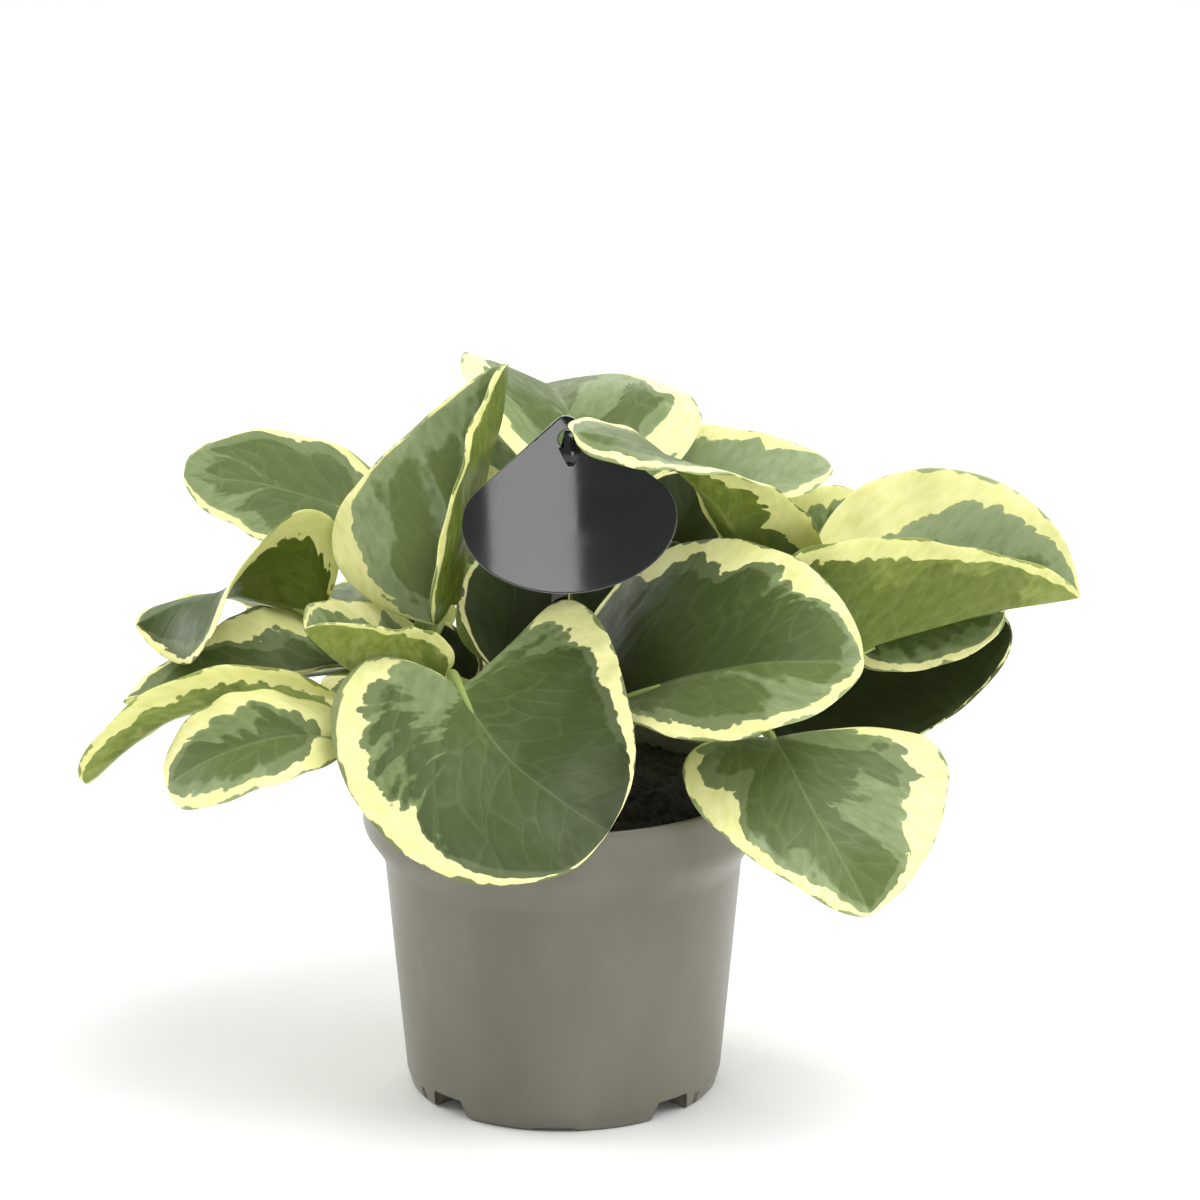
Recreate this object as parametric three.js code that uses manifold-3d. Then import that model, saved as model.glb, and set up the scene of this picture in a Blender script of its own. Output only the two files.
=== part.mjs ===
// A variegated baby rubber plant in a round grower's pot, with a drop-shaped plant tag on a stake.
// Lengths are millimetres and angles are degrees. +Z is up and the viewer stands towards -Y.
// The origin is the middle of the pot's foot, on the ground.
import * as THREE from 'three';
import { mergeVertices } from 'three/addons/utils/BufferGeometryUtils.js';
import Module from 'manifold-3d';

// Driving dimensions.

// Air left between two pieces that touch.
const contactGap = 0.3;

const pot = {
  height: 97,
  wall: 1.4,
  footRadius: 46.4,
  heelRadius: 47.6,
  heelHeight: 5,
  waistRadius: 53.6,
  waistHeight: 71,
  shoulderRadius: 56,
  shoulderHeight: 75.5,
  bandRadius: 59.3,
  bandHeight: 80.5,
  rimRadius: 60,
  edgeRounding: 0.6,
  segments: 72,
};

// Channels pressed up into the floor let water out under the foot. Heading 0 is the front of the pot
// and a positive heading is to the viewer's right.
const tallChannel = {
  headings: [43, 133, 223, 313], halfWidth: 7.4, topHalfWidth: 5.4, height: 6, innerEnd: 26,
};
const shallowChannel = {
  headings: [-3, 87, 177, 267], halfWidth: 6.6, topHalfWidth: 5.8, height: 1.2, innerEnd: 34,
};
const drainSlot = { headings: [57, 117, 237, 297], halfWidth: 0.9, bottom: 0.5, top: 4.2 };

const soil = { edgeHeight: 88, crown: 2, lumps: 0.7, segments: 36, rings: 6 };

const stems = {
  left: { foot: [-16, -6, 84], bend: [-40, -6, 106], top: [-41, -4, 146] },
  right: { foot: [8, 0, 84], bend: [12, -4, 118], top: [44, -2, 140] },
  back: { foot: [-4, 22, 84], bend: [-6, 26, 120], top: [0, 30, 166] },
};
const stemFootRadius = 4.5;
const stemTopRadius = 3;
const stalkRadii = [1.8, 1.7, 1.7, 1.6, 1.6, 1.5, 1.2, 0.6];

const leafThickness = 1.4;
const bladeRows = 11;
const bladeColumns = 7;

// The stake's middle line with its width at each place, from the point in the soil to the barbed head.
const stakeThickness = 1.2;
const stakePath = [
  { at: [-5.4, -12, 52], width: 2 },
  { at: [-5, -12.3, 60], width: 5 },
  { at: [-0.9, -15.6, 157], width: 5 },
  { at: [1.8, -16, 201], width: 4.4 },
  { at: [2, -16.4, 204.4], width: 3.2 },
  { at: [2.1, -17.4, 205.6], width: 3.2 },
  { at: [2.1, -18.8, 205.5], width: 3.2 },
  { at: [2.1, -20.2, 204.2], width: 3.6 },
  { at: [2.2, -20.8, 201.6], width: 3.6 },
  { at: [2.2, -20.8, 201], width: 6.4 },
  { at: [2.3, -20.8, 198], width: 3.8 },
  { at: [2.4, -20.8, 196], width: 1.6 },
];

const card = {
  thickness: 0.6,
  halfWidth: 31.4,
  waistHeight: 21,
  straightStart: { x: 27, height: 31 },
  height: 52.6,
  tipHalfWidth: 3,
  bottomCentre: [3, -22.5, 158.4],
  roll: 2,
  lean: 5.5,
  yaw: 5,
  hole: { x: 0.7, bottom: 42.6, top: 48.2, halfWidth: 3 },
};

const wasm = await Module();
wasm.setup();

const plant = new THREE.Group();
plant.name = 'baby_rubber_plant';

const potPlastic = new THREE.MeshStandardMaterial({ color: 0x747266, roughness: 0.55, metalness: 0 });
const pottingSoil = new THREE.MeshStandardMaterial({ color: 0x16140f, roughness: 0.95, metalness: 0 });
const stemGreen = new THREE.MeshStandardMaterial({ color: 0xa8b870, roughness: 0.5, metalness: 0 });
const leafGreen = new THREE.MeshStandardMaterial({ color: 0x5a6b40, roughness: 0.42, metalness: 0 });
const tagPlastic = new THREE.MeshStandardMaterial({ color: 0x24282a, roughness: 0.2, metalness: 0 });

// Closed surfaces and the joins and cuts made on them.

function closedGeometry(vertices, triangles) {
  const geometry = new THREE.BufferGeometry();
  const numbers = vertices.flatMap((vertex) => vertex.toArray());
  geometry.setAttribute('position', new THREE.Float32BufferAttribute(numbers, 3));
  geometry.setIndex(triangles.flat());
  return geometry;
}

function toSolid(geometry) {
  const bare = geometry.clone();
  bare.deleteAttribute('normal');
  bare.deleteAttribute('uv');
  const merged = mergeVertices(bare, 1e-4);
  return new wasm.Manifold(new wasm.Mesh({
    numProp: 3,
    vertProperties: new Float32Array(merged.attributes.position.array),
    triVerts: new Uint32Array(merged.index.array),
  }));
}

function toGeometry(solid) {
  const surface = solid.getMesh();
  const geometry = new THREE.BufferGeometry();
  geometry.setAttribute('position', new THREE.BufferAttribute(surface.vertProperties.slice(), 3));
  geometry.setIndex(Array.from(surface.triVerts));
  return geometry;
}

// A solid made in place becomes a mesh that stands at its own reference point.
function addPiece(parent, name, solid, material, reference = [0, 0, 0]) {
  const geometry = toGeometry(solid);
  geometry.translate(...reference.map((value) => -value));
  geometry.computeVertexNormals();
  const mesh = new THREE.Mesh(geometry, material);
  mesh.name = name;
  mesh.position.set(...reference);
  parent.add(mesh);
}

// A profile of [radius, height] pairs that starts and ends on the axis, turned about Z.
function revolve(profile, segments) {
  const vertices = [];
  const rows = profile.map(([radius, height]) => {
    const count = radius === 0 ? 1 : segments;
    const first = vertices.length;
    for (let k = 0; k < count; k += 1) {
      const angle = (2 * Math.PI * k) / segments;
      vertices.push(new THREE.Vector3(radius * Math.cos(angle), radius * Math.sin(angle), height));
    }
    return { first, count };
  });
  const triangles = [];
  for (let i = 0; i + 1 < rows.length; i += 1) {
    const [low, high] = [rows[i], rows[i + 1]];
    for (let k = 0; k < segments; k += 1) {
      const corner = (row, step) => row.first + ((k + step) % row.count);
      if (low.count > 1) triangles.push([corner(low, 0), corner(low, 1), corner(high, 1)]);
      if (high.count > 1) triangles.push([corner(low, 0), corner(high, 1), corner(high, 0)]);
    }
  }
  return toSolid(closedGeometry(vertices, triangles));
}

// Rings of the same number of points, each ring joined to the next and both ends filled.
function loft(rings) {
  const sides = rings[0].length;
  const triangles = [];
  for (let i = 0; i + 1 < rings.length; i += 1) {
    for (let k = 0; k < sides; k += 1) {
      const [a, b] = [i * sides + k, i * sides + ((k + 1) % sides)];
      triangles.push([a, b, b + sides], [a, b + sides, a + sides]);
    }
  }
  const last = (rings.length - 1) * sides;
  for (let k = 1; k + 1 < sides; k += 1) {
    triangles.push([0, k + 1, k], [last, last + k, last + k + 1]);
  }
  return toSolid(closedGeometry(rings.flat(), triangles));
}

// A round rod along a path, with one radius for each point of the path.
function rod(path, radii, sides) {
  const side = new THREE.Vector3(0.31, 0.17, 0.93);
  const rings = path.map((point, i) => {
    const before = path[Math.max(i - 1, 0)];
    const after = path[Math.min(i + 1, path.length - 1)];
    const along = after.clone().sub(before).normalize();
    side.addScaledVector(along, -side.dot(along)).normalize();
    const across = along.clone().cross(side);
    return Array.from({ length: sides }, (_, k) => {
      const angle = (2 * Math.PI * k) / sides;
      return point.clone()
        .addScaledVector(side, radii[i] * Math.cos(angle))
        .addScaledVector(across, radii[i] * Math.sin(angle));
    });
  });
  return loft(rings);
}

// The pot: one moulded plastic shell, the same thickness all over, with channels pressed up into its
// floor and drain slots cut through the corner between wall and floor.

const potOuterProfile = [
  [pot.footRadius - 0.8, 0],
  [pot.footRadius, 0.8],
  [pot.heelRadius, pot.heelHeight],
  [pot.waistRadius, pot.waistHeight],
  [pot.shoulderRadius, pot.shoulderHeight],
  [pot.bandRadius, pot.bandHeight],
  [pot.rimRadius, pot.bandHeight + 2.5],
  [pot.rimRadius, pot.height - pot.edgeRounding],
];

function potOuterRadius(height) {
  const above = Math.max(potOuterProfile.findIndex(([, level]) => level >= height), 1);
  const [lowRadius, low] = potOuterProfile[above - 1];
  const [highRadius, high] = potOuterProfile[above];
  return THREE.MathUtils.mapLinear(height, low, high, lowRadius, highRadius);
}

// A bar with the channel's section that runs out past the wall. grow makes it larger all round.
function channelBar(channel, heading, grow = 0) {
  const foot = channel.halfWidth + grow;
  const shoulder = channel.topHalfWidth + grow + 0.5;
  const top = channel.topHalfWidth + grow - 0.9;
  const height = channel.height + grow;
  const corner = Math.min(1.2, channel.height / 2);
  const outline = new THREE.Shape([
    new THREE.Vector2(-foot, -1),
    new THREE.Vector2(foot, -1),
    new THREE.Vector2(foot, height - 2 * corner),
    new THREE.Vector2(shoulder, height - corner),
    new THREE.Vector2(top, height),
    new THREE.Vector2(-top, height),
    new THREE.Vector2(-shoulder, height - corner),
    new THREE.Vector2(-foot, height - 2 * corner),
  ]);
  const outerEnd = pot.rimRadius;
  const innerEnd = channel.innerEnd - grow;
  const geometry = new THREE.ExtrudeGeometry(outline, { depth: outerEnd - innerEnd, bevelEnabled: false });
  geometry.rotateX(Math.PI / 2);
  geometry.translate(0, -innerEnd, 0);
  geometry.rotateZ(THREE.MathUtils.degToRad(heading));
  return toSolid(geometry);
}

function withoutChannels(body, grow) {
  let left = body;
  for (const channel of [tallChannel, shallowChannel]) {
    for (const heading of channel.headings) {
      left = left.subtract(channelBar(channel, heading, grow));
    }
  }
  return left;
}

function slotBar(heading) {
  const height = drainSlot.top - drainSlot.bottom;
  const geometry = new THREE.BoxGeometry(2 * drainSlot.halfWidth, 2 * pot.wall + 4, height);
  geometry.translate(0, -pot.footRadius, drainSlot.bottom + height / 2);
  geometry.rotateZ(THREE.MathUtils.degToRad(heading));
  return toSolid(geometry);
}

// The space inside the shell, up to a level. gap makes it smaller all round.
function potInside(top, gap, segments) {
  const inset = pot.wall + gap;
  const bottom = pot.wall + gap;
  const wall = potOuterProfile.filter(([, height]) => height > bottom + 1 && height < top)
    .map(([radius, height]) => [radius - inset, height]);
  const profile = [
    [0, bottom],
    [potOuterRadius(bottom) - inset, bottom],
    ...wall,
    [pot.rimRadius - inset, top],
    [0, top],
  ];
  return withoutChannels(revolve(profile, segments), inset);
}

function makePot() {
  const outside = revolve([
    [0, 0],
    ...potOuterProfile,
    [pot.rimRadius - pot.edgeRounding, pot.height],
    [0, pot.height],
  ], pot.segments);
  let shell = withoutChannels(outside, 0).subtract(potInside(pot.height + 1, 0, pot.segments));
  for (const heading of drainSlot.headings) {
    shell = shell.subtract(slotBar(heading));
  }
  return shell;
}

addPiece(plant, 'pot', makePot(), potPlastic);

// The three stems: bare stalks that rise from the soil and lean apart, hidden by the leaves.

function stemCurve(stem) {
  const [foot, bend, top] = [stem.foot, stem.bend, stem.top].map((p) => new THREE.Vector3(...p));
  return new THREE.QuadraticBezierCurve3(foot, bend, top);
}

// grow makes the stem fatter and longer, for the sockets and saddles that fit it.
function stemSolid(stem, grow = 0) {
  const steps = 8;
  const path = stemCurve(stem).getPoints(steps);
  const startTangent = path[1].clone().sub(path[0]).normalize();
  const endTangent = path[steps].clone().sub(path[steps - 1]).normalize();
  path[0].addScaledVector(startTangent, -grow);
  path[steps].addScaledVector(endTangent, grow);
  const radii = path.map((_, i) => THREE.MathUtils.lerp(stemFootRadius, stemTopRadius, i / steps) + grow);
  return rod(path, radii, 10);
}

for (const [name, stem] of Object.entries(stems)) {
  addPiece(plant, `stem_${name}`, stemSolid(stem), stemGreen, stem.foot);
}

// The tag: a flat strip pushed into the soil, whose head bends forward through the card's hole and
// hangs down in front of it as a small barbed arrow, and the drop-shaped card that hangs on it.

function stakeSolid(grow = 0) {
  const points = stakePath.map(({ at }) => new THREE.Vector3(...at));
  points[0].addScaledVector(points[1].clone().sub(points[0]).normalize(), -grow);
  const sideways = new THREE.Vector3(1, 0, 0);
  const rings = stakePath.map(({ width }, i) => {
    const before = points[Math.max(i - 1, 0)];
    const after = points[Math.min(i + 1, points.length - 1)];
    const along = after.clone().sub(before).setX(0).normalize();
    const face = along.clone().cross(sideways);
    const corners = [[-1, -1], [1, -1], [1, 1], [-1, 1]];
    return corners.map(([x, n]) => points[i].clone()
      .addScaledVector(sideways, x * (width / 2 + grow))
      .addScaledVector(face, n * (stakeThickness / 2 + grow)));
  });
  return loft(rings);
}

function cardGeometry() {
  const { halfWidth, waistHeight, straightStart, height, tipHalfWidth, hole } = card;
  const outline = new THREE.Shape();
  outline.moveTo(-halfWidth, waistHeight);
  outline.absellipse(0, waistHeight, halfWidth, waistHeight, Math.PI, 2 * Math.PI, false);
  outline.quadraticCurveTo(halfWidth, waistHeight + 6, straightStart.x, straightStart.height);
  outline.lineTo(tipHalfWidth, height - 1.6);
  outline.quadraticCurveTo(0, height + 1, -tipHalfWidth, height - 1.6);
  outline.lineTo(-straightStart.x, straightStart.height);
  outline.quadraticCurveTo(-halfWidth, waistHeight + 6, -halfWidth, waistHeight);
  outline.holes.push(new THREE.Path([
    new THREE.Vector2(hole.x - hole.halfWidth, hole.bottom),
    new THREE.Vector2(hole.x + hole.halfWidth, hole.bottom),
    new THREE.Vector2(hole.x + hole.halfWidth, hole.top),
    new THREE.Vector2(hole.x - hole.halfWidth, hole.top),
  ]));
  return new THREE.ExtrudeGeometry(outline, {
    depth: card.thickness,
    bevelEnabled: false,
    curveSegments: 14,
  });
}

const tag = new THREE.Group();
const cardHanger = new THREE.Group();
const cardMesh = new THREE.Mesh(cardGeometry(), tagPlastic);
cardMesh.name = 'tag_card';
cardMesh.rotation.set(THREE.MathUtils.degToRad(90 - card.lean), 0, THREE.MathUtils.degToRad(card.roll));
cardHanger.position.set(...card.bottomCentre);
cardHanger.rotation.z = THREE.MathUtils.degToRad(card.yaw);
cardHanger.add(cardMesh);
tag.add(cardHanger);
addPiece(tag, 'tag_stake', stakeSolid(), tagPlastic, stakePath[0].at);
plant.add(tag);

// The soil: it fills the pot to the middle of the rim band, with an uneven top and a socket round
// each stem and round the stake.

function soilHeight(radius, angle) {
  const dome = soil.crown * (1 - (radius / pot.rimRadius) ** 2);
  const lumps = Math.sin(radius * 0.31 + 2 * angle) * Math.cos(radius * 0.17 - 3 * angle);
  return soil.edgeHeight + dome + soil.lumps * lumps;
}

// Everything above the soil's uneven top, as far as the pot reaches.
function airAboveSoil() {
  const { segments, rings } = soil;
  const reach = pot.rimRadius + 2;
  const ceiling = pot.height + 10;
  const vertices = [new THREE.Vector3(0, 0, soilHeight(0, 0))];
  const addRing = (radius, heightAt) => {
    for (let k = 0; k < segments; k += 1) {
      const angle = (2 * Math.PI * k) / segments;
      vertices.push(new THREE.Vector3(radius * Math.cos(angle), radius * Math.sin(angle), heightAt(angle)));
    }
  };
  for (let ring = 1; ring <= rings; ring += 1) {
    const radius = (reach * ring) / rings;
    addRing(radius, (angle) => soilHeight(radius, angle));
  }
  addRing(reach, () => ceiling);
  vertices.push(new THREE.Vector3(0, 0, ceiling));
  const peak = vertices.length - 1;
  const triangles = [];
  for (let k = 0; k < segments; k += 1) {
    const next = (k + 1) % segments;
    triangles.push([0, 1 + next, 1 + k]);
    for (let row = 0; row < rings; row += 1) {
      const [low, high] = [1 + row * segments, 1 + (row + 1) * segments];
      triangles.push([low + k, low + next, high + next], [low + k, high + next, high + k]);
    }
    const last = 1 + rings * segments;
    triangles.push([last + k, last + next, peak]);
  }
  return toSolid(closedGeometry(vertices, triangles));
}

function makeSoil() {
  let body = potInside(pot.height, contactGap, soil.segments).subtract(airAboveSoil());
  for (const stem of Object.values(stems)) {
    body = body.subtract(stemSolid(stem, contactGap));
  }
  return body.subtract(stakeSolid(contactGap));
}

addPiece(plant, 'soil', makeSoil(), pottingSoil);

// A leaf is one grown piece: a fleshy blade on a round stalk. The blade's midrib runs from base to
// tip and may bow out of the line or sway sideways in it. Each pair is [left half, right half], seen
// from the upper face with the tip away from the viewer:
//   half   widest distance from midrib to margin
//   fold   how steeply the half rises from the midrib, and relax how much of that goes by the tip
//   curl   extra bend from midrib to margin
//   lobe   how far the half reaches back past the base, as a part of the length
//   broad  above 0 the half is widest near the base, below 0 near the tip
//   full   below 1 the outline is fuller, above 1 it is more pointed

const leafDefaults = {
  bow: 0, sway: 0, fold: [10, 10], curl: [0, 0], lobe: [0.1, 0.1], broad: [0, 0], full: [0.85, 0.85],
  beak: 0.03, twist: 0, relax: 0,
};

// The midrib's point at a part of the length, and the blade's own axes there.
function midrib(leaf, part) {
  const base = new THREE.Vector3(...leaf.base);
  const chord = new THREE.Vector3(...leaf.tip).sub(base);
  const forward = chord.clone().normalize();
  const face = new THREE.Vector3(...leaf.face);
  face.addScaledVector(forward, -face.dot(forward)).normalize();
  const right = forward.clone().cross(face);
  const offset = face.clone().multiplyScalar(leaf.bow).addScaledVector(right, leaf.sway);
  const inside = THREE.MathUtils.clamp(part, 0, 1);
  let arch = 4 * inside * (1 - inside);
  if (part < 0) arch = 4 * part;
  if (part > 1) arch = 4 * (1 - part);
  const point = base.addScaledVector(chord, part).addScaledVector(offset, arch);
  const along = chord.clone().addScaledVector(offset, 4 - 8 * inside).normalize();
  const flatUp = face.clone().addScaledVector(along, -face.dot(along)).normalize();
  const flatAcross = along.clone().cross(flatUp);
  const turn = THREE.MathUtils.degToRad(leaf.twist) * (inside - 0.5);
  const across = flatAcross.clone().multiplyScalar(Math.cos(turn)).addScaledVector(flatUp, Math.sin(turn));
  const up = flatUp.clone().multiplyScalar(Math.cos(turn)).addScaledVector(flatAcross, -Math.sin(turn));
  return { point, along, across, up };
}

// A point of the blade's middle sheet. sweep runs from 0 at the base to pi at the tip, and side from
// -1 at the left margin to 1 at the right margin.
function bladePoint(leaf, sweep, side) {
  const half = side < 0 ? 0 : 1;
  const out = Math.abs(side);
  const way = Math.sign(side);
  const rise = (1 - Math.cos(sweep)) / 2;
  const backward = leaf.lobe[half] * Math.sin(sweep) * (1 + Math.cos(sweep)) / 2 * out ** 1.5;
  const part = rise - backward + leaf.beak * rise ** 8;
  const fullness = Math.abs(Math.sin(sweep)) ** leaf.full[half];
  const width = leaf.half[half] * fullness * (1 + leaf.broad[half] * Math.cos(sweep));
  const distance = width * out;
  const { point, across, up } = midrib(leaf, part);
  const angle = THREE.MathUtils.degToRad(leaf.fold[half]) * (1 - leaf.relax * rise);
  const bend = (THREE.MathUtils.degToRad(leaf.curl[half]) || 1e-6) / leaf.half[half];
  const sideways = (Math.sin(angle + bend * distance) - Math.sin(angle)) / bend;
  const upward = (Math.cos(angle) - Math.cos(angle + bend * distance)) / bend;
  return point.addScaledVector(across, way * sideways).addScaledVector(up, upward);
}

function bladeNormal(leaf, sweep, side) {
  const step = 0.02;
  const across = bladePoint(leaf, sweep, Math.min(side + step, 1));
  across.sub(bladePoint(leaf, sweep, Math.max(side - step, -1)));
  const along = bladePoint(leaf, sweep + step, side).sub(bladePoint(leaf, sweep - step, side));
  return across.cross(along).normalize();
}

// Upper and lower sheets that meet along the margin, at the base and at the tip.
function bladeSolid(leaf) {
  const vertices = [];
  const known = new Map();
  const lastRow = bladeRows - 1;
  const lastColumn = bladeColumns - 1;
  const corner = (sheet, row, column) => {
    const sharp = row === 0 || row === lastRow || column === 0 || column === lastColumn;
    let key = `${sharp ? 'margin' : sheet} ${row} ${column}`;
    if (row === 0 || row === lastRow) key = `end ${row}`;
    if (!known.has(key)) {
      const sweep = (Math.PI * row) / lastRow;
      const side = (2 * column) / lastColumn - 1;
      const point = bladePoint(leaf, sweep, side);
      if (!sharp) {
        const thinning = Math.sqrt(1 - side ** 4);
        point.addScaledVector(bladeNormal(leaf, sweep, side), (sheet * leafThickness * thinning) / 2);
      }
      known.set(key, vertices.length);
      vertices.push(point);
    }
    return known.get(key);
  };
  const triangles = [];
  const addTriangle = (a, b, c) => {
    if (a !== b && b !== c && c !== a) triangles.push([a, b, c]);
  };
  for (let row = 0; row < lastRow; row += 1) {
    for (let column = 0; column < lastColumn; column += 1) {
      for (const sheet of [1, -1]) {
        const near = corner(sheet, row, column);
        const nearRight = corner(sheet, row, column + 1);
        const farRight = corner(sheet, row + 1, column + 1);
        const far = corner(sheet, row + 1, column);
        if (sheet > 0) {
          addTriangle(near, nearRight, farRight);
          addTriangle(near, farRight, far);
        } else {
          addTriangle(near, farRight, nearRight);
          addTriangle(near, far, farRight);
        }
      }
    }
  }
  return toSolid(closedGeometry(vertices, triangles));
}

// The stalk leaves the stem at a part of the stem's height and runs a little way into the midrib.
function stalkSolid(leaf) {
  const start = stemCurve(stems[leaf.stem]).getPoint(leaf.node);
  const end = midrib(leaf, 0);
  const bend = end.point.clone().addScaledVector(end.along, -0.45 * end.point.distanceTo(start));
  const path = new THREE.QuadraticBezierCurve3(start, bend, end.point).getPoints(5);
  path.push(midrib(leaf, 0.06).point, midrib(leaf, 0.14).point);
  return rod(path, stalkRadii, 6);
}

const leaves = new THREE.Group();
plant.add(leaves);

function addLeaf(name, values) {
  const leaf = { ...leafDefaults, ...values };
  const saddle = stemSolid(stems[leaf.stem], contactGap);
  const solid = bladeSolid(leaf).add(stalkSolid(leaf)).subtract(saddle);
  addPiece(leaves, `leaf_${name}`, solid, leafGreen, leaf.base);
}

// The two big leaves that face the viewer, and the low one that hangs over the pot's right rim.

addLeaf('front_heart', {
  base: [-30, -35, 134], tip: [11, -73, 103], face: [0.05, -0.8, 0.6], bow: 2.5, sway: 6,
  half: [45, 44], fold: [-1, 22], curl: [12, -17], lobe: [0.6, 0.6], broad: [0.1, -0.3],
  full: [0.65, 1],
  stem: 'left', node: 0.22,
});

addLeaf('centre_right', {
  base: [17, -21, 126], tip: [84, -45, 144], face: [0, -0.5, 0.85], bow: 7, sway: 3,
  half: [43, 32], fold: [26, 12], curl: [-5, -9], lobe: [0.55, -0.2], broad: [-0.1, 0],
  full: [1.1, 0.95],
  stem: 'right', node: 0.45,
});

addLeaf('right_low', {
  base: [61, -32, 117], tip: [87, -68, 77], face: [0.2, -0.75, 0.65], bow: 5.5, sway: 2.5,
  half: [45, 30], fold: [0, 11], curl: [-4, -16], lobe: [0.05, 0.2], broad: [0.15, 0.45],
  full: [0.8, 1.1],
  stem: 'right', node: 0.75,
});

// The leaves of the left side, from the lowest to the highest.

addLeaf('left_low', {
  base: [-67, -41, 120], tip: [-112, -56, 111], face: [-0.15, -0.55, 0.85], bow: 8.5, sway: -1,
  half: [17, 22], fold: [1, 3], curl: [-5, -15], lobe: [0.1, 0.5], broad: [-0.25, -0.2],
  full: [0.7, 0.85],
  stem: 'left', node: 0.35,
});

addLeaf('left_arch', {
  base: [-65, -16, 119], tip: [-137, -36, 107], face: [0, 0.05, 1], bow: 13.5, sway: -0.5,
  half: [17, 17], fold: [44, -21], curl: [11, 0], broad: [-0.25, 0], full: [0.8, 0.85],
  stem: 'left', node: 0.57,
});

addLeaf('left_shade', {
  base: [-62, 1, 129], tip: [-127, -15, 123], face: [0, -0.4, 0.9], bow: 6.5, sway: -6.5,
  half: [11, 24], fold: [45, 15], lobe: [0.1, 0], broad: [0.1, 0.45],
  stem: 'left', node: 0.65,
});

addLeaf('left_ear', {
  base: [-72, 7, 143], tip: [-125, -1, 144], face: [-0.05, 0.25, 0.95], bow: 7, sway: -1,
  half: [36, 31], fold: [100, -11], relax: 1.7, lobe: [0.05, -0.05], broad: [0.1, -0.05],
  full: [0.95, 0.85],
  stem: 'left', node: 0.85,
});

addLeaf('left_back', {
  base: [-58, 25, 168], tip: [-112, 29, 180], face: [0, -0.35, 0.95], bow: 1, sway: 3.5,
  half: [26, 28], fold: [0, 4], lobe: [0.05, 0.15], broad: [0.05, -0.05], full: [1, 0.95],
  stem: 'back', node: 0.7,
});

addLeaf('left_tall', {
  base: [-37, -13, 146], tip: [-16, 5, 218], face: [-0.5, -0.85, 0.25], bow: -1, sway: 2,
  half: [37, 36], fold: [18, 73], lobe: [0.15, -0.1], broad: [0.45, 0.05], full: [1.1, 0.85],
  stem: 'left', node: 0.92,
});

addLeaf('left_small', {
  base: [-37, -16, 127], tip: [-74, -38, 151], face: [0.1, -0.1, 1], bow: -5.5, sway: 5,
  half: [25, 24], fold: [57, 42], lobe: [0.25, 0], broad: [0.1, 0.3], full: [0.85, 0.65],
  stem: 'left', node: 0.7,
});

// The leaves in the middle and at the top.

addLeaf('sliver', {
  base: [-31, 3, 148], tip: [-24, 4, 190], face: [-0.8, 0.5, 0.2], half: [10, 10], fold: [60, 60],
  stem: 'back', node: 0.5,
});

addLeaf('left_dark', {
  base: [-32, 13, 118], tip: [-58, 12, 140], face: [0, -0.9, 0.4], half: [15, 15], lobe: [0.3, 0.3],
  stem: 'back', node: 0.3,
});

addLeaf('centre_dark', {
  base: [-18, -8, 130], tip: [-14, 1, 169], face: [0.1, -0.95, 0.3], bow: -3.5, sway: 2,
  half: [18, 18], fold: [21, 20], lobe: [0, 0.1], broad: [-0.05, 0], full: [0.9, 0.85],
  stem: 'left', node: 0.8,
});

addLeaf('centre_shade', {
  base: [14, 17, 126], tip: [41, 15, 182], face: [0, -1, 0.2], half: [22, 17], lobe: [0.2, 0.2],
  stem: 'right', node: 0.7,
});

addLeaf('young', {
  base: [35, 2, 146], tip: [33, 9, 165], face: [-0.2, -0.9, 0.3], bow: -2, half: [7, 7],
  fold: [30, 30],
  stem: 'right', node: 0.85,
});

addLeaf('top_back', {
  base: [9, 18, 174], tip: [-5, 62, 201], face: [0.05, -0.5, 0.85], bow: 9.5, half: [37, 42],
  fold: [32, 7], curl: [0, -25], lobe: [-0.05, 0], broad: [-0.1, -0.1], full: [0.85, 0.9],
  stem: 'back', node: 0.95,
});

addLeaf('right_curl', {
  base: [58, -3, 154], tip: [3, -42, 211], face: [0, -0.05, 1], bow: 12, sway: -1, half: [22, 19],
  twist: 44, fold: [68, 29], relax: 1.2, lobe: [0.35, 0.1], broad: [0.15, 0.05], full: [0.65, 0.8],
  beak: 0,
  stem: 'right', node: 0.95,
});

// The leaves of the right side.

addLeaf('right_back', {
  base: [35, 37, 165], tip: [80, 40, 180], face: [0, -0.15, 1], bow: 2.5, sway: 2.5,
  half: [27, 15], fold: [31, -2], lobe: [0.15, 0.15], broad: [0.45, 0.1], full: [0.9, 0.9],
  stem: 'back', node: 0.85,
});

addLeaf('right_gap', {
  base: [55, 38, 142], tip: [91, 43, 169], face: [0, -0.35, 0.95], bow: -1, sway: 1.5,
  half: [20, 19], fold: [19, 10], lobe: [0, 0.1], broad: [0.05, 0],
  stem: 'back', node: 0.75,
});

addLeaf('right_far', {
  base: [78, -3, 131], tip: [150, -10, 153], face: [0, -0.2, 1], bow: 0.5, sway: -3,
  half: [49, 42], fold: [50, 74], lobe: [0, 0.35], broad: [0.1, 0.45], full: [0.85, 0.95],
  stem: 'right', node: 0.88,
});

addLeaf('right_under', {
  base: [85, 9, 135], tip: [130, 3, 145], face: [0.1, -0.9, 0.4], bow: -1, half: [8, 13],
  stem: 'right', node: 0.65,
});

addLeaf('right_dark', {
  base: [63, 19, 106], tip: [132, 8, 137], face: [0.1, -0.85, 0.5], bow: -5, sway: -5.5,
  half: [16, 25], fold: [0, 9], lobe: [0.2, 0.15], broad: [0, -0.15], full: [0.85, 1.1],
  stem: 'right', node: 0.55,
});

// The leaves at the back of the plant.

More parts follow.
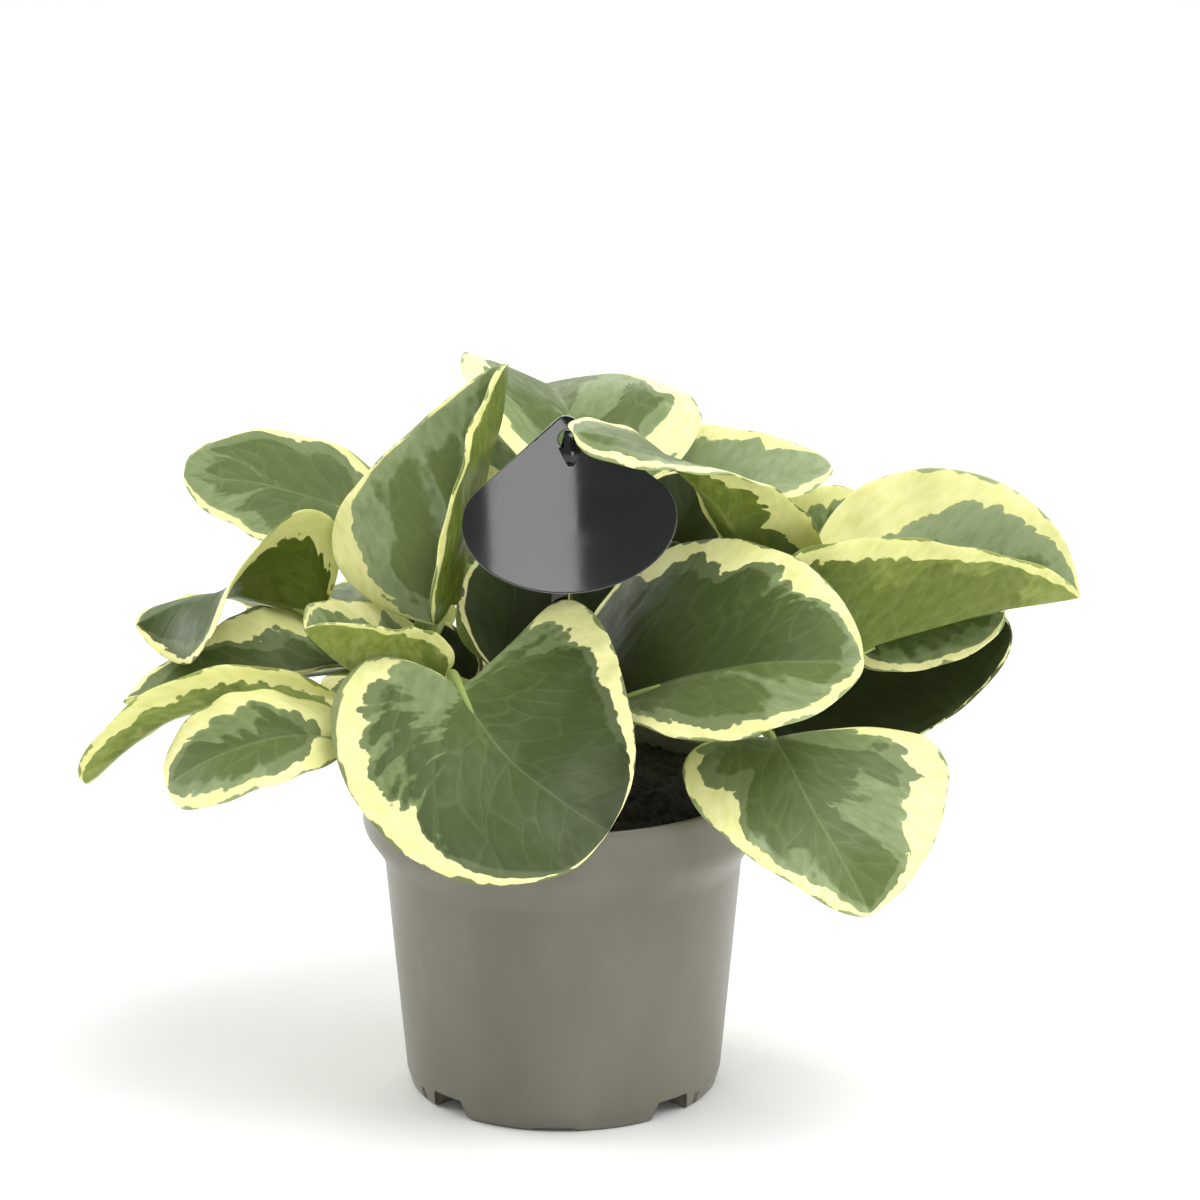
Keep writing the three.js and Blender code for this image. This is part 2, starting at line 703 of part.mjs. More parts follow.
addLeaf('back_mid', {
  base: [0, 44, 128], tip: [6, 108, 108], face: [0, 0.3, 1], bow: 10, half: [30, 30],
  fold: [12, 12], lobe: [0.3, 0.3],
  stem: 'back', node: 0.35,
});

addLeaf('back_left_low', {
  base: [-28, 36, 116], tip: [-64, 82, 88], face: [-0.3, 0.5, 0.8], bow: 8, half: [28, 30],
  fold: [10, 5], lobe: [0.3, 0.3],
  stem: 'back', node: 0.2,
});

addLeaf('back_right_low', {
  base: [30, 36, 116], tip: [74, 78, 88], face: [0.3, 0.5, 0.8], bow: 8, half: [30, 28],
  fold: [5, 10], lobe: [0.3, 0.3],
  stem: 'back', node: 0.25,
});

addLeaf('back_left', {
  base: [-42, 28, 130], tip: [-92, 62, 126], face: [-0.1, 0.2, 1], bow: 8, half: [24, 28],
  fold: [15, 15],
  stem: 'back', node: 0.4,
});

addLeaf('back_right', {
  base: [42, 38, 128], tip: [96, 70, 124], face: [0.1, 0.2, 1], bow: 8, half: [24, 24],
  fold: [15, 15],
  stem: 'back', node: 0.45,
});

addLeaf('back_upper_left', {
  base: [-26, 38, 144], tip: [-62, 72, 152], face: [-0.2, -0.2, 1], bow: 6, half: [22, 22],
  fold: [20, 20], lobe: [0.2, 0.2],
  stem: 'back', node: 0.65,
});

addLeaf('back_upper_right', {
  base: [24, 53, 146], tip: [58, 88, 146], face: [0.2, -0.2, 1], bow: 6, half: [22, 22],
  fold: [20, 20], lobe: [0.2, 0.2],
  stem: 'back', node: 0.8,
});

addLeaf('back_top', {
  base: [-4, 54, 166], tip: [-8, 104, 176], face: [0, -0.3, 1], bow: 8, half: [30, 30],
  fold: [22, 22], lobe: [0.2, 0.2],
  stem: 'back', node: 0.98,
});

export default plant;
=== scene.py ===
import math

import bpy
import numpy as np
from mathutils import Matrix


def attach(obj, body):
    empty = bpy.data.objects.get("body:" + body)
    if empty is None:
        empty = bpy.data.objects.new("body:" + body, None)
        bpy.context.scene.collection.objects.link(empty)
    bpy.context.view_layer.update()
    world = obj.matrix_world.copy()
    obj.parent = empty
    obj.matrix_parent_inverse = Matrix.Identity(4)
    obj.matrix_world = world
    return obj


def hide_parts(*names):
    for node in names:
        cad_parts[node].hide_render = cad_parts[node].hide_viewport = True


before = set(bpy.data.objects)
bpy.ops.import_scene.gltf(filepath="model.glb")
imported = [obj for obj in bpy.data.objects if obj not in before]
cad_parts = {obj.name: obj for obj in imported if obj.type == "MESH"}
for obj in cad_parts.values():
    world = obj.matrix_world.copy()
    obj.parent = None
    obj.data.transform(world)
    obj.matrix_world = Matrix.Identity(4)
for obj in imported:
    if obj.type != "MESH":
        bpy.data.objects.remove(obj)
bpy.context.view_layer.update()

mm = 0.001


# The pot is a round grower's pot, one thin shell moulded from recycled polypropylene. Mixed scrap
# gives it a dull greenish taupe with faint cloudy streaks and a fine satin grain all over.

pot_radii_mm = [45.6, 46.4, 47.6, 53.6, 54.6, 56, 58.4, 59.3, 59.7, 60, 60]
pot_heights_mm = [0, 0.8, 5, 71, 73.4, 75.5, 79, 80.5, 81.8, 83, 96.4]
pot_wall_mm = 1.4
pot_height_mm = 97
pot_floor_top_mm = 7.8
pot_segments = 720

# Channels pressed up into the floor: heading from the front in degrees, half width, height, and
# the radius where the channel starts.
channels = [(heading, 6.6, 6.0, 26) for heading in (43, 133, 223, 313)]
channels += [(heading, 6.4, 1.2, 34) for heading in (-3, 87, 177, 267)]
channel_slope_mm = 2.4
# The channels cut through the wall no higher than this.
channel_limit_mm = 8
drain_slot_headings = (57, 117, 237, 297)
drain_slot_half_width_mm = 0.9
drain_slot_heights_mm = (0.6, 4.3)
drain_slot_depth_mm = 1.2


def skin_parts(loops, first_end, last_end):
    """Points and faces of loops of points joined one to the next, with a point closing each end."""
    rows, count, _ = loops.shape
    points = np.concatenate([[first_end], loops.reshape(-1, 3), [last_end]])
    here = np.arange(count)
    following = np.roll(here, -1)
    starts = 1 + count * np.arange(rows - 1)[:, None]
    quads = np.stack([starts + here, starts + following,
                      starts + count + following, starts + count + here], axis=-1).reshape(-1, 4)
    last_start = 1 + count * (rows - 1)
    last_point = len(points) - 1
    caps = [(0, 1 + int(b), 1 + int(a)) for a, b in zip(here, following)]
    caps += [(last_start + int(a), last_start + int(b), last_point) for a, b in zip(here, following)]
    return points, quads.tolist() + caps


def smooth_mesh(name, points, faces):
    mesh = bpy.data.meshes.new(name)
    mesh.from_pydata(points.tolist(), [], faces)
    mesh.shade_smooth()
    return mesh


def closed_skin(name, loops, first_end, last_end):
    return smooth_mesh(name, *skin_parts(loops, first_end, last_end))


def add_piece(name, mesh, material, node):
    """Puts a mesh in the scene in place of one CAD node."""
    piece = bpy.data.objects.new(name, mesh)
    bpy.context.collection.objects.link(piece)
    mesh.materials.append(material)
    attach(piece, "root")
    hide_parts(node)
    return piece


def linear_colour(hex_code):
    """An sRGB hex colour as the linear colour a shader takes."""
    channels_8_bit = [int(hex_code[i:i + 2], 16) / 255 for i in (1, 3, 5)]
    return [c / 12.92 if c <= 0.04045 else ((c + 0.055) / 1.055) ** 2.4
            for c in channels_8_bit] + [1.0]


def add_node(tree, kind, inputs=None, stops=(), **settings):
    """Adds a node with its settings. Each input is a value, an sRGB hex colour, the socket that feeds
    it, or the node whose first socket does. The stops of a ramp are (position, hex colour) pairs."""
    node = tree.nodes.new("ShaderNode" + kind)
    for name, value in settings.items():
        setattr(node, name, value)
    for _ in stops[2:]:
        node.color_ramp.elements.new(0.5)
    for index, (position, _) in enumerate(stops):
        node.color_ramp.elements[index].position = position
    for index, (_, hex_code) in enumerate(stops):
        node.color_ramp.elements[index].color = linear_colour(hex_code)
    for name, value in (inputs or {}).items():
        if isinstance(value, str):
            value = linear_colour(value)
        if isinstance(value, bpy.types.Node):
            value = value.outputs[0]
        if isinstance(value, bpy.types.NodeSocket):
            tree.links.new(value, node.inputs[name])
        else:
            node.inputs[name].default_value = value
    return node


def start_material(name):
    """A new material with no nodes yet, and its node tree."""
    material = bpy.data.materials.new(name)
    material.use_nodes = True
    material.node_tree.nodes.clear()
    return material, material.node_tree


def finish_material(material, shading):
    """Gives a material its shader, with the inputs in shading."""
    shader = add_node(material.node_tree, "BsdfPrincipled", shading)
    add_node(material.node_tree, "OutputMaterial", {"Surface": shader})
    return material


def channel_lift(x, y):
    """How high the outside of the floor is pressed up at each place, in mm."""
    lift = np.zeros_like(x)
    for heading, half_width, height, start in channels:
        turn = math.radians(heading)
        outward = x * math.sin(turn) - y * math.cos(turn)
        sideways = np.abs(x * math.cos(turn) + y * math.sin(turn))
        across = np.clip((half_width + channel_slope_mm / 2 - sideways) / channel_slope_mm, 0, 1)
        along = np.clip((outward - start) / channel_slope_mm, 0, 1)
        smooth = (across * across * (3 - 2 * across)) * (along * along * (3 - 2 * along))
        lift = np.maximum(lift, height * smooth)
    return lift


def slot_depth(angle, height):
    """How far the drain slots sink into the wall, in mm."""
    low, high = drain_slot_heights_mm
    depth = np.zeros_like(height)
    for heading in drain_slot_headings:
        centre = math.radians(heading - 90)
        away = (angle - centre + math.pi) % (2 * math.pi) - math.pi
        inside = np.abs(away) * pot_radii_mm[1] < drain_slot_half_width_mm
        depth += drain_slot_depth_mm * inside * (height > low) * (height < high)
    return depth


def pot_mesh():
    """The shell in loops: under the floor, up the outside, over the lip and down the inside."""
    under, outside, inside = range(3)
    floor_radii = np.linspace(2, pot_radii_mm[0] - 1, 30)
    wall_heights = np.concatenate([np.linspace(0, 8, 22), np.linspace(10, 70, 16),
                                   np.linspace(71, 84, 18), np.linspace(86, 96.4, 5)])
    wall_radii = np.interp(wall_heights, pot_heights_mm, pot_radii_mm)
    rounded_lip = [(59.8, 96.8), (59.5, pot_height_mm), (59.1, pot_height_mm), (58.75, 96.8)]
    inner_heights = np.array([96.2, 84, 80, 75.5, 71, 40, 12, 10, 9])
    inner_radii = np.interp(inner_heights, pot_heights_mm, pot_radii_mm) - pot_wall_mm
    outline = [(r, 0.0, under) for r in floor_radii]
    outline += [(r, z, outside) for r, z in zip(wall_radii, wall_heights)]
    outline += [(r, z, inside) for r, z in rounded_lip]
    outline += [(r, z, inside) for r, z in zip(inner_radii, inner_heights)]
    outline += [(r, pot_floor_top_mm, inside) for r in (40, 20, 4)]
    angle = np.linspace(0, 2 * math.pi, pot_segments, endpoint=False)
    loops = []
    for radius, height, zone in outline:
        x, y = radius * np.cos(angle), radius * np.sin(angle)
        z = np.full_like(x, height)
        if zone != inside:
            raised = np.maximum(z, channel_lift(x, y) * (z < channel_limit_mm))
            wider = np.interp(raised, pot_heights_mm, pot_radii_mm)
            radius_here = np.where(zone == outside, wider - slot_depth(angle, raised), radius)
            x, y, z = radius_here * np.cos(angle), radius_here * np.sin(angle), raised
        loops.append(np.stack([x, y, z], axis=-1))
    # The loops are turned the other way round so that the faces look outward.
    loops = np.array(loops)[:, ::-1] * mm
    return closed_skin("pot_shell", loops, (0, 0, 0), (0, 0, pot_floor_top_mm * mm))


def pot_plastic():
    """Recycled polypropylene, moulded: matte, with a soft broad shine."""
    material, tree = start_material("recycled_polypropylene_moulded")
    place = add_node(tree, "TexCoord").outputs["Object"]
    # Cloudy streaks of mixed scrap, about 25 mm across and drawn out along the pot's height.
    stretched = add_node(tree, "Mapping", {"Vector": place, "Scale": (1, 1, 0.45)})
    clouds = add_node(tree, "TexNoise", {
        "Vector": stretched, "Scale": 1 / (25 * mm), "Detail": 4, "Roughness": 0.6})
    colour = add_node(tree, "ValToRGB", {"Fac": clouds}, stops=((0.3, "#696659"), (0.7, "#747163")))
    # Satin grain from the mould, drawn at 0.9 mm so that it shows.
    grain = add_node(tree, "TexNoise", {"Vector": place, "Scale": 1 / (0.9 * mm), "Detail": 3})
    roughness = add_node(tree, "MapRange", {
        "Value": grain, "From Min": 0.3, "From Max": 0.7, "To Min": 0.32, "To Max": 0.42})
    bump = add_node(tree, "Bump", {"Height": grain, "Strength": 0.25, "Distance": 0.05 * mm})
    return finish_material(material, {
        "Base Color": colour, "Roughness": roughness, "Normal": bump, "IOR": 1.49})


add_piece("pot_shell", pot_mesh(), pot_plastic(), "pot")


# The soil is moist dark peat pressed in by hand, near-black and crumbly, with a few pale fibres.
# It fills the pot to the middle of the rim band.

soil_radius_mm = 58.1
soil_skirt_mm = ((57.2, 80), (57.9, 85))
soil_edge_height_mm = 88
soil_crown_mm = 2
lump_height_mm = 0.22


def soil_mesh():
    random = np.random.default_rng(7)
    angle = np.linspace(0, 2 * math.pi, 300, endpoint=False)
    # Each wave is its turns per mm, its direction and where it starts.
    waves = [random.uniform((0.2, 0, 0), (0.5, 6.3, 6.3)) for _ in range(10)]
    waves += [random.uniform((0.9, 0, 0), (1.9, 6.3, 6.3)) for _ in range(24)]
    loops = []
    for radius, height in soil_skirt_mm:
        loops.append(np.stack([radius * np.cos(angle), radius * np.sin(angle),
                               np.full_like(angle, height)], axis=-1))
    for radius in np.linspace(soil_radius_mm, 1.0, 74):
        x, y = radius * np.cos(angle), radius * np.sin(angle)
        crown = soil_crown_mm * (1 - (radius / pot_radii_mm[-1]) ** 2)
        z = soil_edge_height_mm + crown + np.zeros_like(x)
        for turns, direction, start in waves:
            wave = np.sin(turns * (x * math.cos(direction) + y * math.sin(direction)) + start)
            z += lump_height_mm / max(turns, 0.6) * wave
        loops.append(np.stack([x, y, z], axis=-1))
    loops = np.array(loops) * mm
    middle = loops[-1].mean(axis=0)
    return closed_skin("soil_fill", loops, (0, 0, soil_skirt_mm[0][1] * mm), middle)


def moist_peat():
    """Peat, pressed: dull, rough and almost black."""
    material, tree = start_material("moist_peat_pressed")
    place = add_node(tree, "TexCoord").outputs["Object"]
    # Crumbs about 2.5 mm across, with finer dust between them.
    crumbs = add_node(tree, "TexVoronoi", {"Vector": place, "Scale": 1 / (2.5 * mm), "Randomness": 1})
    dust = add_node(tree, "TexNoise", {
        "Vector": place, "Scale": 1 / (1.2 * mm), "Detail": 6, "Roughness": 0.7})
    colour = add_node(tree, "ValToRGB", {"Fac": dust}, stops=(
        (0.35, "#0f0d0a"), (0.72, "#2e261c"), (0.8, "#6b5f4b")))
    height = add_node(tree, "Math", {0: crumbs, 1: -0.6, 2: dust}, operation="MULTIPLY_ADD")
    bump = add_node(tree, "Bump", {"Height": height, "Strength": 1.0, "Distance": 1.2 * mm})
    return finish_material(material, {"Base Color": colour, "Roughness": 0.92, "Normal": bump})


add_piece("soil_fill", soil_mesh(), moist_peat(), "soil")


# The stems are three bare fleshy stalks, rooted in the soil, that lean apart as they rise. They are
# smooth and pale green, browner near the soil, and swell a little where each leaf stalk grows out.

stems_mm = {
    "left": ((-16, -6, 84), (-40, -6, 106), (-41, -4, 146)),
    "right": ((8, 0, 84), (12, -4, 118), (44, -2, 140)),
    "back": ((-4, 22, 84), (-6, 26, 120), (0, 30, 166)),
}
stem_nodes = {
    "left": (0.22, 0.35, 0.57, 0.65, 0.7, 0.8, 0.85, 0.92),
    "right": (0.45, 0.55, 0.65, 0.7, 0.75, 0.85, 0.88, 0.95),
    "back": (0.2, 0.25, 0.3, 0.35, 0.4, 0.5, 0.65, 0.7, 0.75, 0.8, 0.85, 0.95),
}
stem_foot_radius_mm = 4.5
stem_top_radius_mm = 3.0
# The swelling at each leaf stalk, as a share of the radius and of the stem's length.
node_swell, node_reach = 0.13, 0.018


def curve_points(start, control, end, parts):
    """Points of a quadratic curve at each part of its length, from 0 to 1."""
    start, control, end = (np.array(p, float) for p in (start, control, end))
    t = np.asarray(parts, float)[:, None]
    return (1 - t) ** 2 * start + 2 * t * (1 - t) * control + t * t * end


def rod_loops(path, radii, sides):
    """Circles of points round a path, one for each of its points."""
    along = np.gradient(path, axis=0)
    along /= np.linalg.norm(along, axis=1, keepdims=True)
    # Any direction that no path here runs along.
    side = np.array([0.31, 0.17, 0.93])
    turns = np.linspace(0, 2 * math.pi, sides, endpoint=False)
    loops = []
    for point, direction, radius in zip(path, along, radii):
        side = side - direction * (side @ direction)
        side /= np.linalg.norm(side)
        other = np.cross(direction, side)
        circle = np.cos(turns)[:, None] * side + np.sin(turns)[:, None] * other
        loops.append(point + radius * circle)
    return np.array(loops)


def stem_mesh(name):
    parts = np.linspace(0, 1, 90)
    path = curve_points(*stems_mm[name], parts)
    radii = stem_foot_radius_mm + (stem_top_radius_mm - stem_foot_radius_mm) * parts
    for node in stem_nodes[name]:
        radii = radii * (1 + node_swell * np.exp(-((parts - node) / node_reach) ** 2))
    radii = radii * np.sqrt(np.clip((1.012 - parts) / 0.03, 0.05, 1))
    loops = rod_loops(path, radii, 28) * mm
    return closed_skin("stem_" + name, loops, path[0] * mm, path[-1] * mm)


def stem_skin():
    """Fleshy green stalk, grown: smooth and waxy with fine lengthwise lines."""
    material, tree = start_material("green_stalk_grown")
    place = add_node(tree, "TexCoord").outputs["Object"]
    # Lengthwise lines about 0.8 mm apart.
    lines = add_node(tree, "Mapping", {"Vector": place, "Scale": (1, 1, 0.12)})
    streaks = add_node(tree, "TexNoise", {"Vector": lines, "Scale": 1 / (0.8 * mm), "Detail": 3})
    height = add_node(tree, "SeparateXYZ", {"Vector": place})
    woody = add_node(tree, "MapRange", {
        "Value": height.outputs["Z"], "From Min": 88 * mm, "From Max": 125 * mm})
    green = add_node(tree, "ValToRGB", {"Fac": streaks}, stops=((0.3, "#8fa05c"), (0.75, "#bcc98a")))
    colour = add_node(tree, "MixRGB", {"Fac": woody, "Color1": "#7d7a52", "Color2": green})
    bump = add_node(tree, "Bump", {"Height": streaks, "Strength": 0.4, "Distance": 0.15 * mm})
    roughness = add_node(tree, "MapRange", {"Value": streaks, "To Min": 0.36, "To Max": 0.5})
    return finish_material(material, {
        "Base Color": colour, "Roughness": roughness, "Normal": bump, "IOR": 1.42,
        "Subsurface Weight": 0.15, "Subsurface Radius": (1.0, 1.0, 0.4),
        "Subsurface Scale": 1.5 * mm})


stalk_green = stem_skin()
for stem_name in stems_mm:
    add_piece("stem_" + stem_name, stem_mesh(stem_name), stalk_green, "stem_" + stem_name)


# The leaves are thick and fleshy, each one grown piece with its round stalk: a waxy blade, cupped or
# folded along the midrib. The green lies in lobes in the middle, in two or three tones that overlap,
# and the edge is cream.
#
# Pairs are (left half, right half), seen on the upper face with the tip away from the viewer, and one
# value does for both:
#   half    widest distance from midrib to margin      fold    how steeply the half rises
#   curl    extra bend from midrib to margin           lobe    how far the half reaches back
#   broad   above 0 widest near the base               full    below 1 a fuller outline
#   cream   widths of the cream edge, evenly spaced round each half from base to tip, always for both
#   tone    how much dark green covers the grey-green: 0 is none, 1 is nearly all, and above 1 the
#           green itself is darker, which on the leaves deep among the others is painted shade; as
#           one value, as (base, tip), or as such a pair for each half
# bow lifts the midrib's middle off the straight line from base to tip and sway moves it sideways, in
# mm. beak draws the tip out, twist turns it about the midrib, and relax is how much of the fold is
# gone there. stem and node are where the stalk grows out.

leaf_thickness_mm = 1.4
blade_rows = 110
blade_columns = 52
# The midrib's depth and half width, in mm, in the upper face and on the lower one.
groove_depth_mm, groove_half_width_mm = 0.45, 1.3
ridge_height_mm, ridge_half_width_mm = 0.9, 1.6
# The first and last loop stop short of base and tip by this much of the sweep.
end_sweep = 0.03
swell_height_mm = 0.22
ripple_height_mm = 0.5
# What the skin is told each point lies on.
upper_sheet, lower_sheet, stalk_sheet = 0.0, 1.0, 2.0
stalk_steps = 26
# Side veins run forward by this much for each millimetre outward.
vein_lean = 0.8
leaf_defaults = dict(
    bow=0, sway=0, fold=10, curl=0, lobe=0.1, broad=0, full=0.85, beak=0.03, twist=0, relax=0,
    tone=0.5, cream=((4, 6, 3, 7, 4, 5, 3, 4, 3), (4, 3, 6, 4, 7, 4, 5, 3, 3)))


def unit(vectors):
    return vectors / np.linalg.norm(vectors, axis=-1, keepdims=True)


def midrib(leaf, part):
    """The midrib's points at parts of the leaf's length, and the blade's own axes there."""
    base = np.array(leaf["base"], float)
    chord = np.array(leaf["tip"], float) - base
    forward = unit(chord)
    face = np.array(leaf["face"], float)
    face = unit(face - (face @ forward) * forward)
    offset = face * leaf["bow"] + np.cross(forward, face) * leaf["sway"]
    inside = np.clip(part, 0, 1)[..., None]
    part = part[..., None]
    arch = np.where(part < 0, 4 * part, np.where(part > 1, 4 * (1 - part), 4 * inside * (1 - inside)))
    point = base + chord * part + offset * arch
    along = unit(chord + offset * (4 - 8 * inside))
    up = unit(face - (along @ face)[..., None] * along)
    across = np.cross(along, up)
    turn = math.radians(leaf["twist"]) * (inside - 0.5)
    return (point, along, across * np.cos(turn) + up * np.sin(turn),
            up * np.cos(turn) - across * np.sin(turn))


def by_half(pair, side):
    """The left or right value of a pair, by which half of the blade each point is on. A single value
    holds for both halves."""
    return np.where(side < 0, *np.broadcast_to(pair, 2))


def leaf_length(leaf):
    return np.linalg.norm(np.array(leaf["tip"], float) - np.array(leaf["base"], float))


def blade_surface(leaf, sweep, side):
    """Points of the blade's middle sheet with their distances in mm: along the midrib, out from it
    and in from the margin. sweep runs from 0 at the base to pi at the tip, side from -1 to 1."""
    out = np.abs(side)
    rise = (1 - np.cos(sweep)) / 2
    backward = by_half(leaf["lobe"], side) * np.sin(sweep) * (1 + np.cos(sweep)) / 2 * out ** 1.5
    part = rise - backward + leaf["beak"] * rise ** 8
    fullness = np.abs(np.sin(sweep)) ** by_half(leaf["full"], side)
    width = by_half(leaf["half"], side) * fullness * (1 + by_half(leaf["broad"], side) * np.cos(sweep))
    distance = width * out
    point, _, across, up = midrib(leaf, part)
    angle = np.radians(by_half(leaf["fold"], side)) * (1 - leaf["relax"] * rise)
    bend = np.radians(by_half(leaf["curl"], side)) / by_half(leaf["half"], side)
    bend = np.where(np.abs(bend) < 1e-7, 1e-7, bend)
    sideways = (np.sin(angle + bend * distance) - np.sin(angle)) / bend
    upward = (np.cos(angle) - np.cos(angle + bend * distance)) / bend
    point = point + across * (np.sign(side) * sideways)[..., None] + up * upward[..., None]
    return point, part * leaf_length(leaf), distance, width - distance


def blade_normals(leaf, sweep, side):
    step = 0.015
    across = (blade_surface(leaf, sweep, np.minimum(side + step, 1))[0]
              - blade_surface(leaf, sweep, np.maximum(side - step, -1))[0])
    along = (blade_surface(leaf, sweep + step, side)[0]
             - blade_surface(leaf, sweep - step, side)[0])
    return unit(np.cross(across, along))


def vein_end(leaf, sweep, inward):
    """The part of the leaf's length at which the side vein through each point meets the margin."""
    return (1 - np.cos(sweep)) / 2 + vein_lean * inward / leaf_length(leaf)


def cream_width(leaf, side, meets):
    """The cream edge's width where the side vein through each point meets the margin."""
    around = np.arccos(1 - 2 * np.clip(meets, 0, 1))
    left, right = (np.interp(around, np.linspace(0, math.pi, len(widths)), widths)
                   for widths in leaf["cream"])
    return np.where(side < 0, left, right)


def rim_distance(leaf, side, meets):
    """How far round the margin from the base, in mm, the side vein through each point ends."""
    around = np.linspace(0, math.pi, 120)
    runs = []
    for way in (-1.0, 1.0):
        margin = blade_surface(leaf, around, np.full_like(around, way))[0]
        steps = np.linalg.norm(np.diff(margin, axis=0), axis=1)
        run = np.concatenate([[0], np.cumsum(steps)])
        beyond_tip = np.clip(meets - 1, 0, None) * leaf_length(leaf)
        runs.append(np.interp(meets, (1 - np.cos(around)) / 2, run) + beyond_tip)
    return np.where(side < 0, *runs)


def uneven_blade(along, rib_side, side, random):
    """How far the blade rises and falls, in mm: slow swells, and a livelier ripple at its margin."""
    rise = np.zeros_like(along)
    for _ in range(5):
        wavelength = random.uniform(22, 40)
        heading = random.uniform(0, math.pi)
        run = along * math.cos(heading) + rib_side * math.sin(heading)
        rise += swell_height_mm * np.sin(2 * math.pi * run / wavelength + random.uniform(0, 6.3))
    ripple_wavelength = random.uniform(13, 19)
    start = random.uniform(0, 6.3) + 1.7 * (side > 0)
    ripple = ripple_height_mm * np.sin(2 * math.pi * along / ripple_wavelength + start)
    return rise + ripple * side ** 4


def blade_loops(leaf, random):
    """Loops round the blade from base to tip, and the values its skin is coloured by."""
    sweep = np.linspace(end_sweep, math.pi - end_sweep, blade_rows)[:, None]
    side = np.sin(np.linspace(-1, 1, blade_columns) * math.pi / 2)[None, :]
    sweep, side = np.broadcast_arrays(sweep, side)
    point, along, out, inward = blade_surface(leaf, sweep, side)
    normal = blade_normals(leaf, sweep, side)
    rib_side = out * np.sign(side)
    point = point + normal * uneven_blade(along, rib_side, side, random)[..., None]
    # The midrib is sunk into the upper face and stands out of the lower one.
    fade = np.clip(1 - along / along.max(), 0, 1)
    groove = groove_depth_mm * np.exp(-(out / groove_half_width_mm) ** 2) * fade
    ridge = ridge_height_mm * np.exp(-(out / ridge_half_width_mm) ** 2) * fade
    rounding = np.sqrt(np.clip(1 - side ** 8, 0, 1)) * np.sqrt(1 - np.cos(sweep) ** 24)
    half_thickness = leaf_thickness_mm / 2 * rounding
    upper = point + normal * (half_thickness - groove)[..., None]
    lower = point - normal * (half_thickness + ridge * rounding)[..., None]
    part = sweep / math.pi
    (left_base, left_tip), (right_base, right_tip) = np.broadcast_to(leaf["tone"], (2, 2))
    meets = vein_end(leaf, sweep, inward)
    values = {
        "inward": inward,
        "cream_reach": cream_width(leaf, side, meets),
        "rim_distance": rim_distance(leaf, side, meets),
        "vein": along - vein_lean * out,
        "rib_side": rib_side,
        "tone": np.where(side < 0, left_base + (left_tip - left_base) * part,
                         right_base + (right_tip - right_base) * part),
        "sheet": np.full_like(out, upper_sheet),
    }
    lower_values = {**values, "sheet": np.full_like(out, lower_sheet)}
    loops = np.concatenate([upper, lower[:, -2:0:-1]], axis=1)
    for key in values:
        values[key] = np.concatenate([values[key], lower_values[key][:, -2:0:-1]], axis=1)
    return loops, values


def stalk_loops(leaf):
    """The stalk from inside its stem to the lower face of the midrib, with its middle line."""
    start = curve_points(*stems_mm[leaf["stem"]], [leaf["node"]])[0]
    joined = np.array([0.0, 0.03, 0.06, 0.1, 0.14, 0.2])
    points, along, _, up = midrib(leaf, joined)
    radii = np.concatenate([np.linspace(1.8, 1.5, stalk_steps), [1.4, 1.25, 1.1, 0.9, 0.5]])
    # It widens where it leaves the stem.
    radii[:6] += np.linspace(0.7, 0, 6)
    # Where it runs along the blade it stays below the upper face.
    points = points - up * np.clip(radii[stalk_steps - 1:] - 0.4, 0, None)[:, None]
    end = points[0]
    bend = end - along[0] * 0.45 * np.linalg.norm(end - start)
    free = curve_points(start, bend, end, np.linspace(0, 1, stalk_steps))
    path = np.concatenate([free, points[1:]])
    return rod_loops(path, radii, 14), path


def leaf_mesh(name, leaf, random):
    loops, values = blade_loops(leaf, random)
    ends = midrib(leaf, np.array([0.0, 1 + leaf["beak"]]))[0]
    blade_points, blade_faces = skin_parts(loops * mm, ends[0] * mm, ends[1] * mm)
    stalk, path = stalk_loops(leaf)
    stalk_points, stalk_faces = skin_parts(stalk * mm, path[0] * mm, path[-1] * mm)
    first = len(blade_points)
    faces = blade_faces + [[first + corner for corner in face] for face in stalk_faces]
    mesh = smooth_mesh(name, np.concatenate([blade_points, stalk_points]), faces)
    # The stalk is the same pale green all through, far from any margin or rib.
    stalk_values = dict.fromkeys(values, 0.0)
    stalk_values.update(inward=30.0, rib_side=20.0, sheet=stalk_sheet, vein=stalk_points[:, 2] / mm)
    for key, value in values.items():
        on_blade = np.concatenate([value[0, :1], value.ravel(), value[-1, :1]])
        on_stalk = np.broadcast_to(stalk_values[key], len(stalk_points))
        layer = mesh.attributes.new(key, "FLOAT", "POINT")
        layer.data.foreach_set("value", np.concatenate([on_blade, on_stalk]).astype(np.float32))
    seed = mesh.attributes.new("leaf_seed", "FLOAT", "POINT")
    seed.data.foreach_set("value", np.full(len(mesh.vertices), random.uniform(0, 500), np.float32))
    return mesh


def rounded_cells(tree, place, scale, dimensions):
    """Random cells that swell to 1 at their middle and drop towards 0 where they meet."""
    cells = add_node(tree, "TexVoronoi", {
        "Vector": place, "Scale": scale}, voronoi_dimensions=dimensions)
    square = add_node(tree, "Math", {0: cells, 1: cells}, operation="MULTIPLY")
    return add_node(tree, "MapRange", {"Value": square, "From Max": 0.4, "To Min": 1, "To Max": 0})


def weighted_sum(tree, start, *parts):
    """A start value plus each (value, weight)."""
    total = start
    for value, weight in parts:
        total = add_node(tree, "Math", {0: value, 1: weight, 2: total}, operation="MULTIPLY_ADD")
    return total


